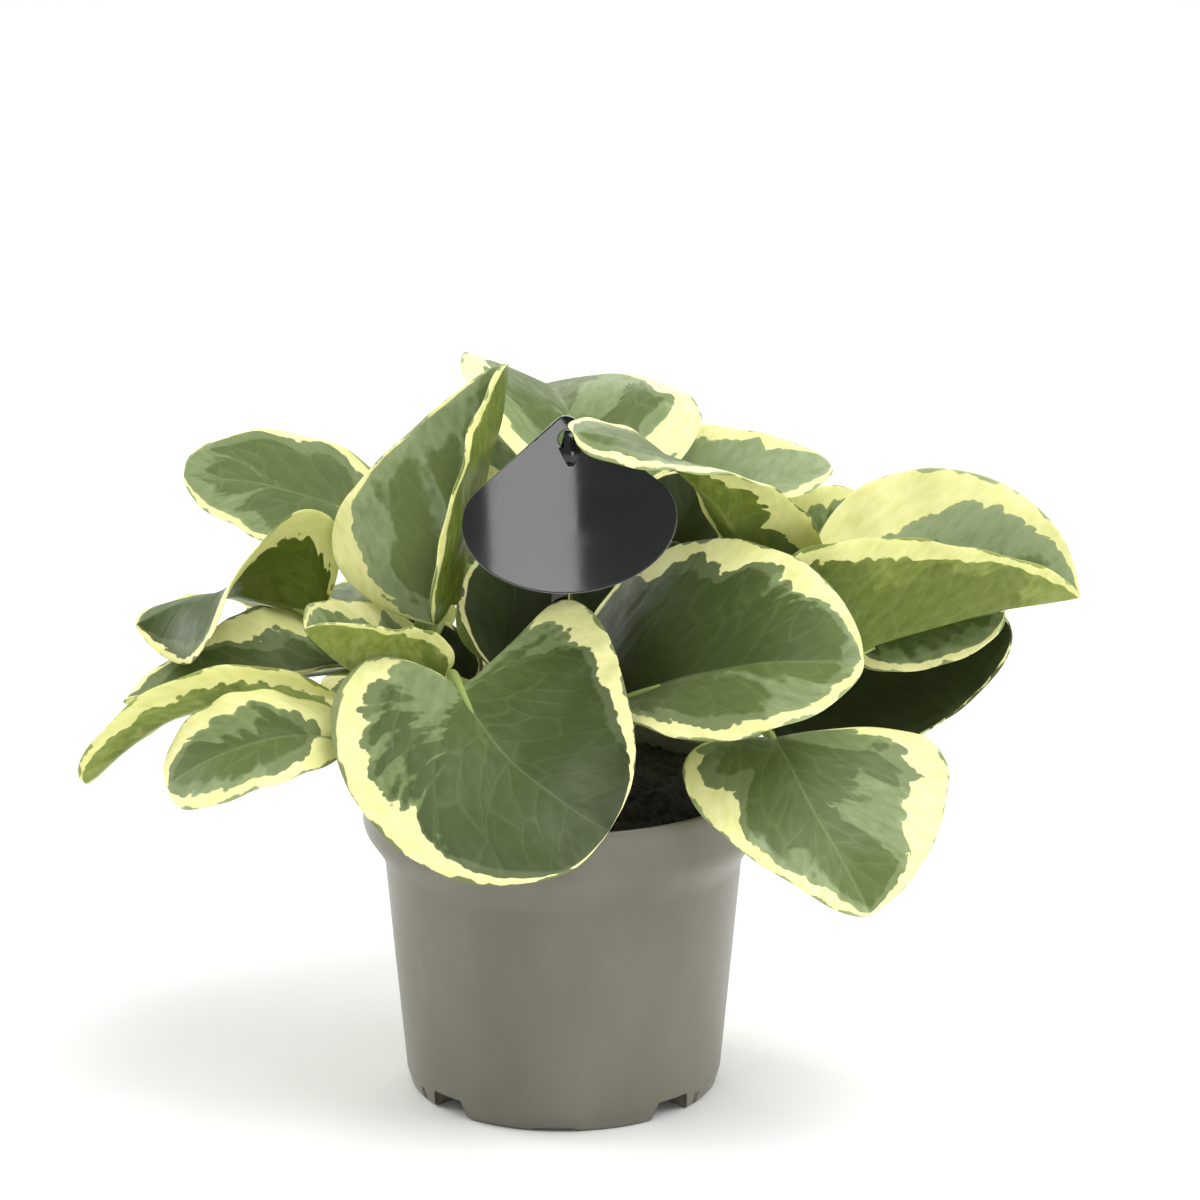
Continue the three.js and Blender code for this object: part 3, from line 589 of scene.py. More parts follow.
def leaf_skin():
    """Fleshy variegated leaf, grown: a waxy cuticle over colour that lies in lobed layers."""
    material, tree = start_material("waxy_variegated_leaf_grown")
    inward, cream_reach, rim, vein_number, rib_side, tone, sheet, leaf_seed = (
        add_node(tree, "Attribute", attribute_name=name).outputs["Fac"]
        for name in ("inward", "cream_reach", "rim_distance", "vein", "rib_side", "tone", "sheet",
                     "leaf_seed"))
    grain = add_node(tree, "CombineXYZ", {"X": vein_number, "Y": rib_side, "Z": leaf_seed})
    place = add_node(tree, "TexCoord").outputs["Object"]

    # The side veins wander by a few millimetres, so the lobes between them differ in width.
    wander_place = add_node(tree, "Mapping", {"Vector": grain, "Scale": (1 / 11, 1 / 11, 1)})
    wander = add_node(tree, "TexNoise", {"Vector": wander_place, "Scale": 1, "Detail": 1})
    mottle = add_node(tree, "TexNoise", {"Vector": wander_place, "Scale": 3, "Detail": 4})
    vein = weighted_sum(tree, vein_number, (wander, 6.0))

    # The green ends in rounded lobes about 8 mm wide, each edged with scallops 3 mm wide. Both are
    # deeper where the cream edge is wide.
    lobe_place = add_node(tree, "CombineXYZ", {
        "X": weighted_sum(tree, leaf_seed, (rim, 1 / 8), (wander, 1.2)),
        "Y": weighted_sum(tree, 0, (inward, 1 / 18))})
    lobes = rounded_cells(tree, lobe_place, 1, "2D")
    scallops = rounded_cells(tree, place, 1 / (3 * mm), "3D")
    lobe_depth = add_node(tree, "MapRange", {
        "Value": cream_reach, "From Min": 1, "From Max": 12, "To Min": 0.3, "To Max": 4})
    scallop_depth = add_node(tree, "MapRange", {
        "Value": cream_reach, "From Min": 1, "From Max": 5, "To Min": 0.2, "To Max": 1.2})
    # In mm: how far inside the green each point is.
    beyond_cream = add_node(tree, "Math", {0: inward, 1: cream_reach}, operation="SUBTRACT")
    centred_lobes = add_node(tree, "Math", {0: lobes, 1: 0.5}, operation="SUBTRACT")
    centred_scallops = add_node(tree, "Math", {0: scallops, 1: 0.5}, operation="SUBTRACT")
    depth = weighted_sum(
        tree, beyond_cream, (centred_lobes, lobe_depth), (centred_scallops, scallop_depth))
    cream = add_node(tree, "MapRange", {
        "Value": depth, "From Min": -0.2, "From Max": 0.3, "To Min": 1, "To Max": 0},
        interpolation_type="SMOOTHSTEP")

    # Here and there the very edge is green again, in dashes up to 1 mm wide.
    dash_place = add_node(tree, "Mapping", {
        "Vector": grain, "Scale": (1 / 8, 1 / 60, 1), "Location": (3, 1, 4)})
    dashes = add_node(tree, "TexNoise", {"Vector": dash_place, "Scale": 1, "Detail": 3})
    dash_width = add_node(tree, "MapRange", {
        "Value": dashes, "From Min": 0.46, "From Max": 0.66, "To Min": 0, "To Max": 1.7})
    dash_depth = add_node(tree, "Math", {0: dash_width, 1: inward}, operation="SUBTRACT")
    dash = add_node(tree, "MapRange", {
        "Value": dash_depth, "From Min": -0.1, "From Max": 0.2, "To Min": 1, "To Max": 0.1})
    cream_here = add_node(tree, "Math", {0: cream, 1: dash}, operation="MULTIPLY")

    # Darker green covers parts of the grey-green in a second layer, with the same kind of edge.
    layer_place = add_node(tree, "Mapping", {
        "Vector": grain, "Scale": (1 / 24, 1 / 30, 1), "Location": (5, 3, 9)})
    layer = add_node(tree, "TexNoise", {
        "Vector": layer_place, "Scale": 1, "Detail": 1, "Roughness": 0.4})
    # It keeps to the middle of the blade, which leaves a paler band next to the cream.
    towards_middle = add_node(tree, "MapRange", {
        "Value": depth, "From Min": 0, "From Max": 14, "To Min": -0.1, "To Max": 0.08})
    layer_edge = weighted_sum(
        tree, layer, (tone, 0.35), (lobes, 0.09), (scallops, 0.03), (towards_middle, 1))
    dark = add_node(tree, "MapRange", {
        "Value": layer_edge, "From Min": 0.69, "From Max": 0.76}, interpolation_type="SMOOTHSTEP")
    # Tone above 1 darkens both greens, the underside's too, towards the ends of their ramps: on the
    # leaves deep among the others that darker green is painted shade.
    shade = add_node(tree, "MapRange", {
        "Value": weighted_sum(tree, mottle, (tone, 0.8)), "From Min": 0.3, "From Max": 1.5})
    deep_shade = add_node(tree, "MapRange", {
        "Value": weighted_sum(tree, mottle, (tone, 2)), "From Min": 1, "From Max": 4.5})
    grey_green = add_node(tree, "ValToRGB", {"Fac": shade}, stops=(
        (0.1, "#98a77d"), (0.5, "#7f9061"), (0.9, "#6a7b46")))
    dark_green_and_painted_shade = add_node(tree, "ValToRGB", {"Fac": deep_shade}, stops=(
        (0, "#6b7b45"), (0.4, "#475729"), (1, "#242c11")))
    upper_green = add_node(tree, "MixRGB", {"Fac": dark, "Color1": grey_green, "Color2": dark_green_and_painted_shade})
    # Fringe and veins fade where the green is dark, and where it is painted shade.
    outside_dark_and_painted_shade = add_node(tree, "MapRange", {
        "Value": tone, "From Min": 0.8, "From Max": 1.6, "To Min": 1, "To Max": 0.1})
    # The outermost millimetres of some lobes are a thin pale layer over the cream.
    fringe_reach = add_node(tree, "MapRange", {
        "Value": layer, "From Min": 0.4, "From Max": 0.6, "To Min": 1.2, "To Max": 5})
    fringe_depth = add_node(tree, "Math", {0: depth, 1: fringe_reach}, operation="SUBTRACT")
    fringe = add_node(tree, "MapRange", {
        "Value": fringe_depth, "From Min": -1, "From Max": 0.6, "To Min": 0.3, "To Max": 0},
        interpolation_type="SMOOTHSTEP")
    fringe_here = add_node(tree, "Math", {0: fringe, 1: outside_dark_and_painted_shade}, operation="MULTIPLY")
    upper_layers = add_node(tree, "MixRGB", {
        "Fac": fringe_here, "Color1": upper_green, "Color2": "#a3b082"})
    upper_cream = add_node(tree, "ValToRGB", {"Fac": mottle}, stops=(
        (0.3, "#e7e69a"), (0.7, "#f5f3b4")))
    upper = add_node(tree, "MixRGB", {
        "Fac": cream_here, "Color1": upper_layers, "Color2": upper_cream})

    # The underside is a yellower, more even green with the same cream edge.
    plain_lower = add_node(tree, "ValToRGB", {"Fac": shade}, stops=(
        (0.1, "#a3ad62"), (0.5, "#80903c"), (0.9, "#5a6a20")))
    lower_dark = add_node(tree, "Math", {0: dark, 1: 0.45}, operation="MULTIPLY")
    lower_green = add_node(tree, "MixRGB", {
        "Fac": lower_dark, "Color1": plain_lower, "Color2": "#4d5e19"})
    lower_cream = add_node(tree, "ValToRGB", {"Fac": mottle}, stops=(
        (0.3, "#e2e38c"), (0.7, "#f0efa8")))
    lower = add_node(tree, "MixRGB", {
        "Fac": cream_here, "Color1": lower_green, "Color2": lower_cream})
    is_lower = add_node(tree, "MapRange", {"Value": sheet, "From Min": 0.4, "From Max": 0.6})
    blade = add_node(tree, "MixRGB", {"Fac": is_lower, "Color1": upper, "Color2": lower})

    # The midrib is a pale line about 1 mm wide; finer veins make a loose, faint net.
    rib_distance = add_node(tree, "Math", {0: rib_side}, operation="ABSOLUTE")
    rib = add_node(tree, "MapRange", {
        "Value": rib_distance, "From Min": 0.2, "From Max": 0.8, "To Min": 0.13, "To Max": 0},
        interpolation_type="SMOOTHSTEP")
    net_place = add_node(tree, "CombineXYZ", {"X": vein, "Y": rib_side, "Z": leaf_seed})
    net_scale = add_node(tree, "Mapping", {"Vector": net_place, "Scale": (1 / 9, 1 / 17, 1)})
    net = add_node(tree, "TexVoronoi", {"Vector": net_scale, "Scale": 1}, feature="DISTANCE_TO_EDGE")
    net_line = add_node(tree, "MapRange", {
        "Value": net, "From Max": 0.06, "To Min": 0.06, "To Max": 0}, interpolation_type="SMOOTHSTEP")
    all_veins = add_node(tree, "Math", {0: rib, 1: net_line}, operation="MAXIMUM")
    veins = add_node(tree, "Math", {0: all_veins, 1: outside_dark_and_painted_shade}, operation="MULTIPLY")
    veined = add_node(tree, "MixRGB", {"Fac": veins, "Color1": blade, "Color2": "#b4c38c"})
    is_stalk = add_node(tree, "MapRange", {"Value": sheet, "From Min": 1.4, "From Max": 1.6})
    colour = add_node(tree, "MixRGB", {"Fac": is_stalk, "Color1": veined, "Color2": "#9cab62"})

    # The blade rises a little between the veins. Skin cells are drawn at 0.5 mm so that they show.
    cells = add_node(tree, "TexNoise", {"Vector": grain, "Scale": 1 / 0.5, "Detail": 2})
    quilt = add_node(tree, "MapRange", {
        "Value": net, "From Max": 0.25}, interpolation_type="SMOOTHERSTEP")
    relief = weighted_sum(tree, 0, (quilt, 0.5), (wander, 2.0), (cells, 0.15))
    bump = add_node(tree, "Bump", {"Height": relief, "Strength": 0.5, "Distance": 0.3 * mm})
    roughness = add_node(tree, "MapRange", {
        "Value": mottle, "From Min": 0.3, "From Max": 0.7, "To Min": 0.36, "To Max": 0.48})
    return finish_material(material, {
        "Base Color": colour, "Roughness": roughness, "Normal": bump, "IOR": 1.42,
        "Specular IOR Level": 0.3, "Subsurface Weight": 0.2, "Subsurface Radius": (1.0, 1.1, 0.4),
        "Subsurface Scale": 1.2 * mm})


variegated_leaf = leaf_skin()


def add_leaf(name, **values):
    leaf = {**leaf_defaults, **values}
    random = np.random.default_rng(list(name.encode()))
    mesh = leaf_mesh("leaf_" + name, leaf, random)
    add_piece("leaf_" + name, mesh, variegated_leaf, "leaf_" + name)


# The two big leaves that face the viewer, and the low one that hangs over the pot's right rim.

add_leaf("front_heart", base=(-30, -35, 134), tip=(11, -73, 103), face=(0.05, -0.8, 0.6), bow=2.5,
    sway=6, half=(45, 44), fold=(-1, 22), curl=(12, -17), lobe=0.6, broad=(0.1, -0.3), full=(0.65, 1),
    stem="left", node=0.22,
    tone=((0.4, 1.7), (0.35, 1.5)),
    cream=((0.5, 0.5, 1, 5, 6.5, 8, 7, 8, 6, 5, 5, 4, 3),
           (0.5, 0.5, 1, 3, 5, 6, 7, 6, 11, 4, 2, 1.5, 1.5)))
# centre_right's left half is painted darker towards its base: painted shade, for the shade under the tag.
add_leaf("centre_right", base=(17, -21, 126), tip=(84, -45, 144), face=(0, -0.5, 0.85), bow=7, sway=3,
    half=(43, 32), fold=(26, 12), curl=(-5, -9), lobe=(0.55, -0.2), broad=(-0.1, 0), full=(1.1, 0.95),
    stem="right", node=0.45,
    tone=((2.3, 0.1), (0.8, 0.3)),
    cream=((0.5, 0.5, 0.5, 0.5, 1, 2, 7, 4, 11, 5, 13, 10, 7),
           (0.5, 1, 4, 6, 5.5, 7, 4.5, 5, 4, 4, 5, 6, 6)))
add_leaf("right_low", base=(61, -32, 117), tip=(87, -68, 77), face=(0.2, -0.75, 0.65), bow=5.5,
    sway=2.5, half=(45, 30), fold=(0, 11), curl=(-4, -16), lobe=(0.05, 0.2), broad=(0.15, 0.45),
    full=(0.8, 1.1), stem="right", node=0.75,
    tone=(0.7, 0.5),
    cream=((0.5, 2, 3, 5, 12, 9, 12, 8, 16, 14, 15, 11, 10),
           (0.5, 1, 3, 1, 4.5, 5, 14, 4.5, 3.5, 5, 5, 4, 2)))

# The leaves of the left side, from the lowest to the highest.

add_leaf("left_low", base=(-67, -41, 120), tip=(-112, -56, 111), face=(-0.15, -0.55, 0.85), bow=8.5,
    sway=-1, half=(17, 22), fold=(1, 3), curl=(-5, -15), lobe=(0.1, 0.5), broad=(-0.25, -0.2),
    full=(0.7, 0.85), stem="left", node=0.35,
    tone=((0.7, 0.4), (0.9, 0.6)),
    cream=((4, 4, 5, 7, 8, 4, 3, 3, 3.5, 4, 4, 4, 5), (4, 4, 5, 7, 8, 9, 8, 6, 8, 7, 9, 8, 7)))
add_leaf("left_arch", base=(-65, -16, 119), tip=(-137, -36, 107), face=(0, 0.05, 1), bow=13.5,
    sway=-0.5, half=17, fold=(44, -21), curl=(11, 0), broad=(-0.25, 0), full=(0.8, 0.85), stem="left",
    node=0.57,
    tone=(0.6, 0.4),
    cream=((3, 3, 4, 4, 4, 6, 6.5, 7, 8, 7, 5, 3, 2), (3, 3, 5, 9, 12, 4, 4, 4, 4, 4, 4, 3, 3)))
add_leaf("left_shade", base=(-62, 1, 129), tip=(-127, -15, 123), face=(0, -0.4, 0.9), bow=6.5,
    sway=-6.5, half=(11, 24), fold=(45, 15), lobe=(0.1, 0), broad=(0.1, 0.45), stem="left", node=0.65,
    tone=((0.9, 0.9), (0.9, 0.7)),
    cream=((2, 2, 3, 4, 4, 3, 3), (1, 2, 5, 11, 9, 8, 11, 8, 2, 2, 2, 3, 2)))
add_leaf("left_ear", base=(-72, 7, 143), tip=(-125, -1, 144), face=(-0.05, 0.25, 0.95), bow=7,
    sway=-1, half=(36, 31), fold=(100, -11), relax=1.7, lobe=(0.05, -0.05), broad=(0.1, -0.05),
    full=(0.95, 0.85), stem="left", node=0.85,
    tone=((0.8, 1.3), (0.6, 1)),
    cream=((4, 4, 4, 6, 11, 8, 10.5, 9, 2.5, 2, 3, 5, 5), (2, 2, 3, 5, 5, 5, 6, 8, 9, 10, 12, 10, 8)))
add_leaf("left_back", base=(-58, 25, 168), tip=(-112, 29, 180), face=(0, -0.35, 0.95), bow=1,
    sway=3.5, half=(26, 28), fold=(0, 4), lobe=(0.05, 0.15), broad=(0.05, -0.05), full=(1, 0.95),
    stem="back", node=0.7,
    tone=((0.6, 0.6), (0.5, 0.6)),
    cream=((2, 2, 2, 2, 3, 2, 2, 2, 3, 3, 3, 3, 3), (1, 1, 1.5, 2, 5, 4, 1.5, 5, 1, 1, 1, 1, 1)))
add_leaf("left_tall", base=(-37, -13, 146), tip=(-16, 5, 218), face=(-0.5, -0.85, 0.25), bow=-1,
    sway=2, half=(37, 36), fold=(18, 73), lobe=(0.15, -0.1), broad=(0.45, 0.05), full=(1.1, 0.85),
    stem="left", node=0.92,
    tone=((0.1, 0.4), (1, 0.7)),
    cream=((3, 3, 4, 8, 10, 5, 2, 1, 1, 1.5, 1, 1, 1), (3, 3, 5, 6, 7, 3, 3, 4, 4, 5, 5, 4, 3)))
add_leaf("left_small", base=(-37, -16, 127), tip=(-74, -38, 151), face=(0.1, -0.1, 1), bow=-5.5,
    sway=5, half=(25, 24), fold=(57, 42), lobe=(0.25, 0), broad=(0.1, 0.3), full=(0.85, 0.65),
    stem="left", node=0.7,
    tone=((0.4, 0.3), (0.3, 0.3)),
    cream=((3, 2, 2, 3, 3, 4, 4, 3, 3, 2, 2, 1, 1), (3, 3, 3, 4, 6, 2, 7, 6.5, 5, 3, 2.5, 3.5, 3.5)))

# The leaves in the middle and at the top.

add_leaf("sliver", base=(-31, 3, 148), tip=(-24, 4, 190), face=(-0.8, 0.5, 0.2), half=10, fold=60,
    stem="back", node=0.5,
    cream=((2, 2, 1, 1, 1, 1, 1, 2, 2, 3, 3, 3, 3), (1, 1, 1, 3, 4, 4.5, 4, 3, 4, 4, 4, 4, 4)))
# left_dark is a dark leaf put behind the stems where there is deep shade; its dark green is painted
# shade.
add_leaf("left_dark", base=(-32, 13, 118), tip=(-58, 12, 140), face=(0, -0.9, 0.4), half=15, lobe=0.3,
    stem="back", node=0.3,
    tone=2, cream=((1, 1), (1, 1)))
# centre_dark's dark green is painted shade, for the shade below the tag.
add_leaf("centre_dark", base=(-18, -8, 130), tip=(-14, 1, 169), face=(0.1, -0.95, 0.3), bow=-3.5,
    sway=2, half=18, fold=(21, 20), lobe=(0, 0.1), broad=(-0.05, 0), full=(0.9, 0.85), stem="left",
    node=0.8,
    tone=((1.7, 1.5), (1.8, 1.6)), cream=((1.5, 1.5), (1.2, 1.2)))
# centre_shade is a dark leaf put between the tag's right edge and right_curl, where there is shade; its
# dark green is painted shade.
add_leaf("centre_shade", base=(14, 17, 126), tip=(41, 15, 182), face=(0, -1, 0.2), half=(22, 17),
    lobe=0.2, stem="right", node=0.7,
    tone=1.6, cream=((1, 1), (1, 1)))
add_leaf("young", base=(35, 2, 146), tip=(33, 9, 165), face=(-0.2, -0.9, 0.3), bow=-2, half=7,
    fold=30, stem="right", node=0.85,
    tone=1.5, cream=((1, 1), (1, 1)))
add_leaf("top_back", base=(9, 18, 174), tip=(-5, 62, 201), face=(0.05, -0.5, 0.85), bow=9.5,
    half=(37, 42), fold=(32, 7), curl=(0, -25), lobe=(-0.05, 0), broad=-0.1, full=(0.85, 0.9),
    stem="back", node=0.95,
    tone=((0.6, 0.7), (0.6, 0.6)),
    cream=((3, 3, 3, 3, 5, 8, 7, 7.5, 7.5, 8, 7, 4, 3), (3, 3, 3, 3, 3, 13, 19, 9, 7, 12, 8, 4, 3)))
add_leaf("right_curl", base=(58, -3, 154), tip=(3, -42, 211), face=(0, -0.05, 1), bow=12, sway=-1,
    half=(22, 19), twist=44, fold=(68, 29), relax=1.2, lobe=(0.35, 0.1), broad=(0.15, 0.05),
    full=(0.65, 0.8), beak=0, stem="right", node=0.95,
    tone=((1.1, 0.5), (0.7, 0.5)),
    cream=((3, 3, 4, 4, 5, 12, 9, 15, 4, 5, 5, 4, 3), (3, 3, 3, 4, 4, 4, 4, 5, 5, 4, 3, 3, 3)))

# The leaves of the right side.

add_leaf("right_back", base=(35, 37, 165), tip=(80, 40, 180), face=(0, -0.15, 1), bow=2.5, sway=2.5,
    half=(27, 15), fold=(31, -2), lobe=0.15, broad=(0.45, 0.1), full=0.9, stem="back", node=0.85,
    tone=((0.1, 0.1), (0.2, 0.2)),
    cream=((3, 3, 4, 4, 4, 6, 5, 8, 2, 8, 5, 1.5, 1), (2, 2, 2, 2, 2, 2, 3, 3, 4, 4, 3, 2, 2)))
add_leaf("right_gap", base=(55, 38, 142), tip=(91, 43, 169), face=(0, -0.35, 0.95), bow=-1, sway=1.5,
    half=(20, 19), fold=(19, 10), lobe=(0, 0.1), broad=(0.05, 0), stem="back", node=0.75,
    cream=((6, 6, 7, 7, 8, 8, 10, 11, 13, 8, 9, 9, 8), (5, 5)))
add_leaf("right_far", base=(78, -3, 131), tip=(150, -10, 153), face=(0, -0.2, 1), bow=0.5, sway=-3,
    half=(49, 42), fold=(50, 74), lobe=(0, 0.35), broad=(0.1, 0.45), full=(0.85, 0.95), stem="right",
    node=0.88,
    tone=((0, 0), (1, 0.1)),
    cream=((5, 5, 6, 12, 13, 16, 20, 14, 11, 9, 9, 9, 7), (4, 4, 4, 5, 6, 6.5, 9, 10, 8, 4, 4, 4, 4)))
add_leaf("right_under", base=(85, 9, 135), tip=(130, 3, 145), face=(0.1, -0.9, 0.4), bow=-1,
    half=(8, 13), stem="right", node=0.65,
    tone=(1, 0.8), cream=((2, 2), (3, 3, 3, 3, 3, 2, 2, 2, 2, 1.5, 1.5, 1.5, 1.5)))
# right_dark's near-black green is painted shade, for the deep shade it lies in under right_far and
# right_under.
add_leaf("right_dark", base=(63, 19, 106), tip=(132, 8, 137), face=(0.1, -0.85, 0.5), bow=-5,
    sway=-5.5, half=(16, 25), fold=(0, 9), lobe=(0.2, 0.15), broad=(0, -0.15), full=(0.85, 1.1),
    stem="right", node=0.55,
    tone=((2.2, 2), (2.2, 1.8)),
    cream=((1, 1), (0.5, 0.5, 0.5, 0.5, 0.5, 0.5, 0.5, 0.5, 0.5, 1, 1.2, 1.2, 1.2)))

# The leaves at the back of the plant.

add_leaf("back_mid", base=(0, 44, 128), tip=(6, 108, 108), face=(0, 0.3, 1), bow=10, half=30, fold=12,
    lobe=0.3, stem="back", node=0.35,
    cream=((4, 9, 3, 6, 10, 4, 8, 4, 3), (5, 4, 12, 6, 13, 7, 4, 5, 3)))
add_leaf("back_left_low", base=(-28, 36, 116), tip=(-64, 82, 88), face=(-0.3, 0.5, 0.8), bow=8,
    half=(28, 30), fold=(10, 5), lobe=0.3, stem="back", node=0.2,
    cream=((4, 6, 3, 8, 4, 9, 4, 5, 3), (5, 11, 6, 14, 9, 12, 6, 5, 3)))
add_leaf("back_right_low", base=(30, 36, 116), tip=(74, 78, 88), face=(0.3, 0.5, 0.8), bow=8,
    half=(30, 28), fold=(5, 10), lobe=0.3, stem="back", node=0.25,
    cream=((6, 12, 7, 15, 8, 10, 4, 6, 3), (4, 7, 3, 6, 4, 8, 3, 4, 3)))
add_leaf("back_left", base=(-42, 28, 130), tip=(-92, 62, 126), face=(-0.1, 0.2, 1), bow=8,
    half=(24, 28), fold=15, stem="back", node=0.4,
    cream=((3, 5, 3, 6, 3, 5, 4, 3, 2), (6, 10, 5, 9, 4, 8, 5, 4, 3)))
add_leaf("back_right", base=(42, 38, 128), tip=(96, 70, 124), face=(0.1, 0.2, 1), bow=8, half=24,
    fold=15, stem="back", node=0.45,
    cream=((5, 9, 4, 10, 6, 8, 3, 4, 3), (3, 5, 3, 6, 3, 5, 3, 3, 2)))
add_leaf("back_upper_left", base=(-26, 38, 144), tip=(-62, 72, 152), face=(-0.2, -0.2, 1), bow=6,
    half=22, fold=20, lobe=0.2, stem="back", node=0.65,
    cream=((3, 4, 3, 5, 3, 4, 3, 3, 2), (4, 8, 3, 9, 5, 7, 4, 3, 2)))
add_leaf("back_upper_right", base=(24, 53, 146), tip=(58, 88, 146), face=(0.2, -0.2, 1), bow=6,
    half=22, fold=20, lobe=0.2, stem="back", node=0.8,
    cream=((5, 9, 4, 8, 5, 9, 3, 4, 2), (3, 5, 3, 4, 3, 5, 3, 3, 2)))
add_leaf("back_top", base=(-4, 54, 166), tip=(-8, 104, 176), face=(0, -0.3, 1), bow=8, half=30,
    fold=22, lobe=0.2, stem="back", node=0.98,
    cream=((4, 7, 3, 8, 4, 9, 4, 4, 2), (6, 12, 5, 13, 8, 11, 4, 4, 2)))


# The tag is a drop-shaped card punched from glossy black plastic sheet with a pale core, so its cut
# edge shows light. It hangs on the barbed head of a flat moulded stake of the same black plastic.

card_thickness_mm = 0.6
card_bevel_mm = 0.25
card_half_width_mm = 31.4
card_waist_mm = 21
card_height_mm = 52.6
card_bottom_mm = (3, -22.5, 158.4)
card_lean, card_roll, card_yaw = 5.5, 2, 5
card_sag_mm = 1.4
card_shoulder_mm = (27, 31)
card_hole_mm = (0.7, 45.4)
card_hole_radii_mm = (3.0, 2.8)


def card_outline(count):
    """Points round the card in its own plane, in mm, evenly spaced."""
    across, waist, top = card_half_width_mm, card_waist_mm, card_height_mm
    bowl = np.linspace(0, math.pi, 80)
    lower = np.stack([across * np.cos(bowl), waist * (1 - np.sin(bowl))], axis=-1)
    parts = np.linspace(0, 1, 12)
    shoulder, height = card_shoulder_mm
    left_bend = curve_points((-across, waist), (-across, waist + 6), (-shoulder, height), parts[1:])
    tip = curve_points((-3, top - 1.6), (0, top + 1), (3, top - 1.6), parts)
    right_bend = curve_points((shoulder, height), (across, waist + 6), (across, waist), parts)
    corners = np.concatenate([lower, left_bend, tip, right_bend])
    steps = np.concatenate([[0], np.cumsum(np.linalg.norm(np.diff(corners, axis=0), axis=1))])
    at = np.linspace(0, steps[-1], count, endpoint=False)
    return np.stack([np.interp(at, steps, corners[:, 0]), np.interp(at, steps, corners[:, 1])], axis=-1)


def card_place(flat):
    """Card points (right, up, forward) in mm, bent, leaned and turned to where the card hangs."""
    right, up, forward = flat[..., 0], flat[..., 1], flat[..., 2]
    forward = forward - card_sag_mm * (right / card_half_width_mm) ** 2 + card_sag_mm * 0.35
    roll, lean, yaw = (math.radians(v) for v in (card_roll, card_lean, card_yaw))
    right, up = right * math.cos(roll) - up * math.sin(roll), right * math.sin(roll) + up * math.cos(roll)
    back = up * math.sin(lean) - forward * math.cos(lean)
    height = up * math.cos(lean) + forward * math.sin(lean)
    x = right * math.cos(yaw) - back * math.sin(yaw)
    y = right * math.sin(yaw) + back * math.cos(yaw)
    return np.stack([x, y, height], axis=-1) + np.array(card_bottom_mm)


def card_mesh():
    count = 240
    outline = card_outline(count)
    heading = np.arctan2(outline[:, 1] - card_hole_mm[1], outline[:, 0] - card_hole_mm[0])
    hole = np.stack([card_hole_mm[0] + card_hole_radii_mm[0] * np.cos(heading),
                     card_hole_mm[1] + card_hole_radii_mm[1] * np.sin(heading)], axis=-1)
    outward = unit(outline - hole)
    reach = np.linalg.norm(outline - hole, axis=1, keepdims=True)
    # Each ring is how far out it lies from the hole: a share of the way, then a step in mm.
    near_hole = [(0, 0.15), (0, 0.3)]
    near_edge = [(1, -0.6), (1, -card_bevel_mm)]
    rings = near_hole + [(share, 0) for share in np.linspace(0.08, 0.92, 22)] + near_edge
    flat = np.array([hole + outward * (reach * share + step) for share, step in rings])
    front, back = card_thickness_mm, 0.0
    rows = [(ring, front) for ring in flat]
    rows += [(outline, front - card_bevel_mm), (outline, back + card_bevel_mm)]
    rows += [(ring, back) for ring in flat[::-1]]
    rows += [(hole, back + card_bevel_mm), (hole, front - card_bevel_mm)]
    loops = np.array([np.column_stack([ring, np.full(count, level)]) for ring, level in rows])
    points = card_place(loops).reshape(-1, 3) * mm
    faces = []
    for row in range(len(rows)):
        low, high = row * count, (row + 1) % len(rows) * count
        faces += [(low + k, low + (k + 1) % count, high + (k + 1) % count, high + k)
                  for k in range(count)]
    mesh = smooth_mesh("tag_card", points, faces)
    is_cut = [float(ring is outline) for ring, _ in rows]
    cut_edge = mesh.attributes.new("cut_edge", "FLOAT", "POINT")
    cut_edge.data.foreach_set("value", np.repeat(is_cut, count).astype(np.float32))
    return mesh


def tag_sheet():
    """Polystyrene sheet, printed black and glossy, with a pale cut edge."""
    material, tree = start_material("polystyrene_sheet_glossy")
    place = add_node(tree, "TexCoord").outputs["Object"]
    # Faint handling smears about 12 mm long, and dust specks about 0.6 mm apart.
    smears = add_node(tree, "TexNoise", {"Vector": place, "Scale": 1 / (12 * mm), "Detail": 4})
    specks = add_node(tree, "TexNoise", {"Vector": place, "Scale": 1 / (0.6 * mm), "Detail": 1})
    colour = add_node(tree, "ValToRGB", {"Fac": smears}, stops=((0, "#0c0f10"), (1, "#171c1c")))
    cut_edge = add_node(tree, "Attribute", attribute_name="cut_edge").outputs["Fac"]
    with_cut = add_node(tree, "MixRGB", {"Fac": cut_edge, "Color1": colour, "Color2": "#c6c9c6"})
    roughness = add_node(tree, "MapRange", {
        "Value": smears, "From Min": 0.3, "From Max": 0.7, "To Min": 0.05, "To Max": 0.1})
    bump = add_node(tree, "Bump", {"Height": specks, "Strength": 0.05, "Distance": 0.02 * mm})
    return finish_material(material, {
        "Base Color": with_cut, "Roughness": roughness, "Normal": bump, "IOR": 1.55})


stake_half_thickness_mm = 0.6
# The stake's chamfered section, as shares of its half width and half thickness.
stake_section = [(-1, -0.6), (-0.85, -1), (0.85, -1), (1, -0.6),
                 (1, 0.6), (0.85, 1), (-0.85, 1), (-1, 0.6)]


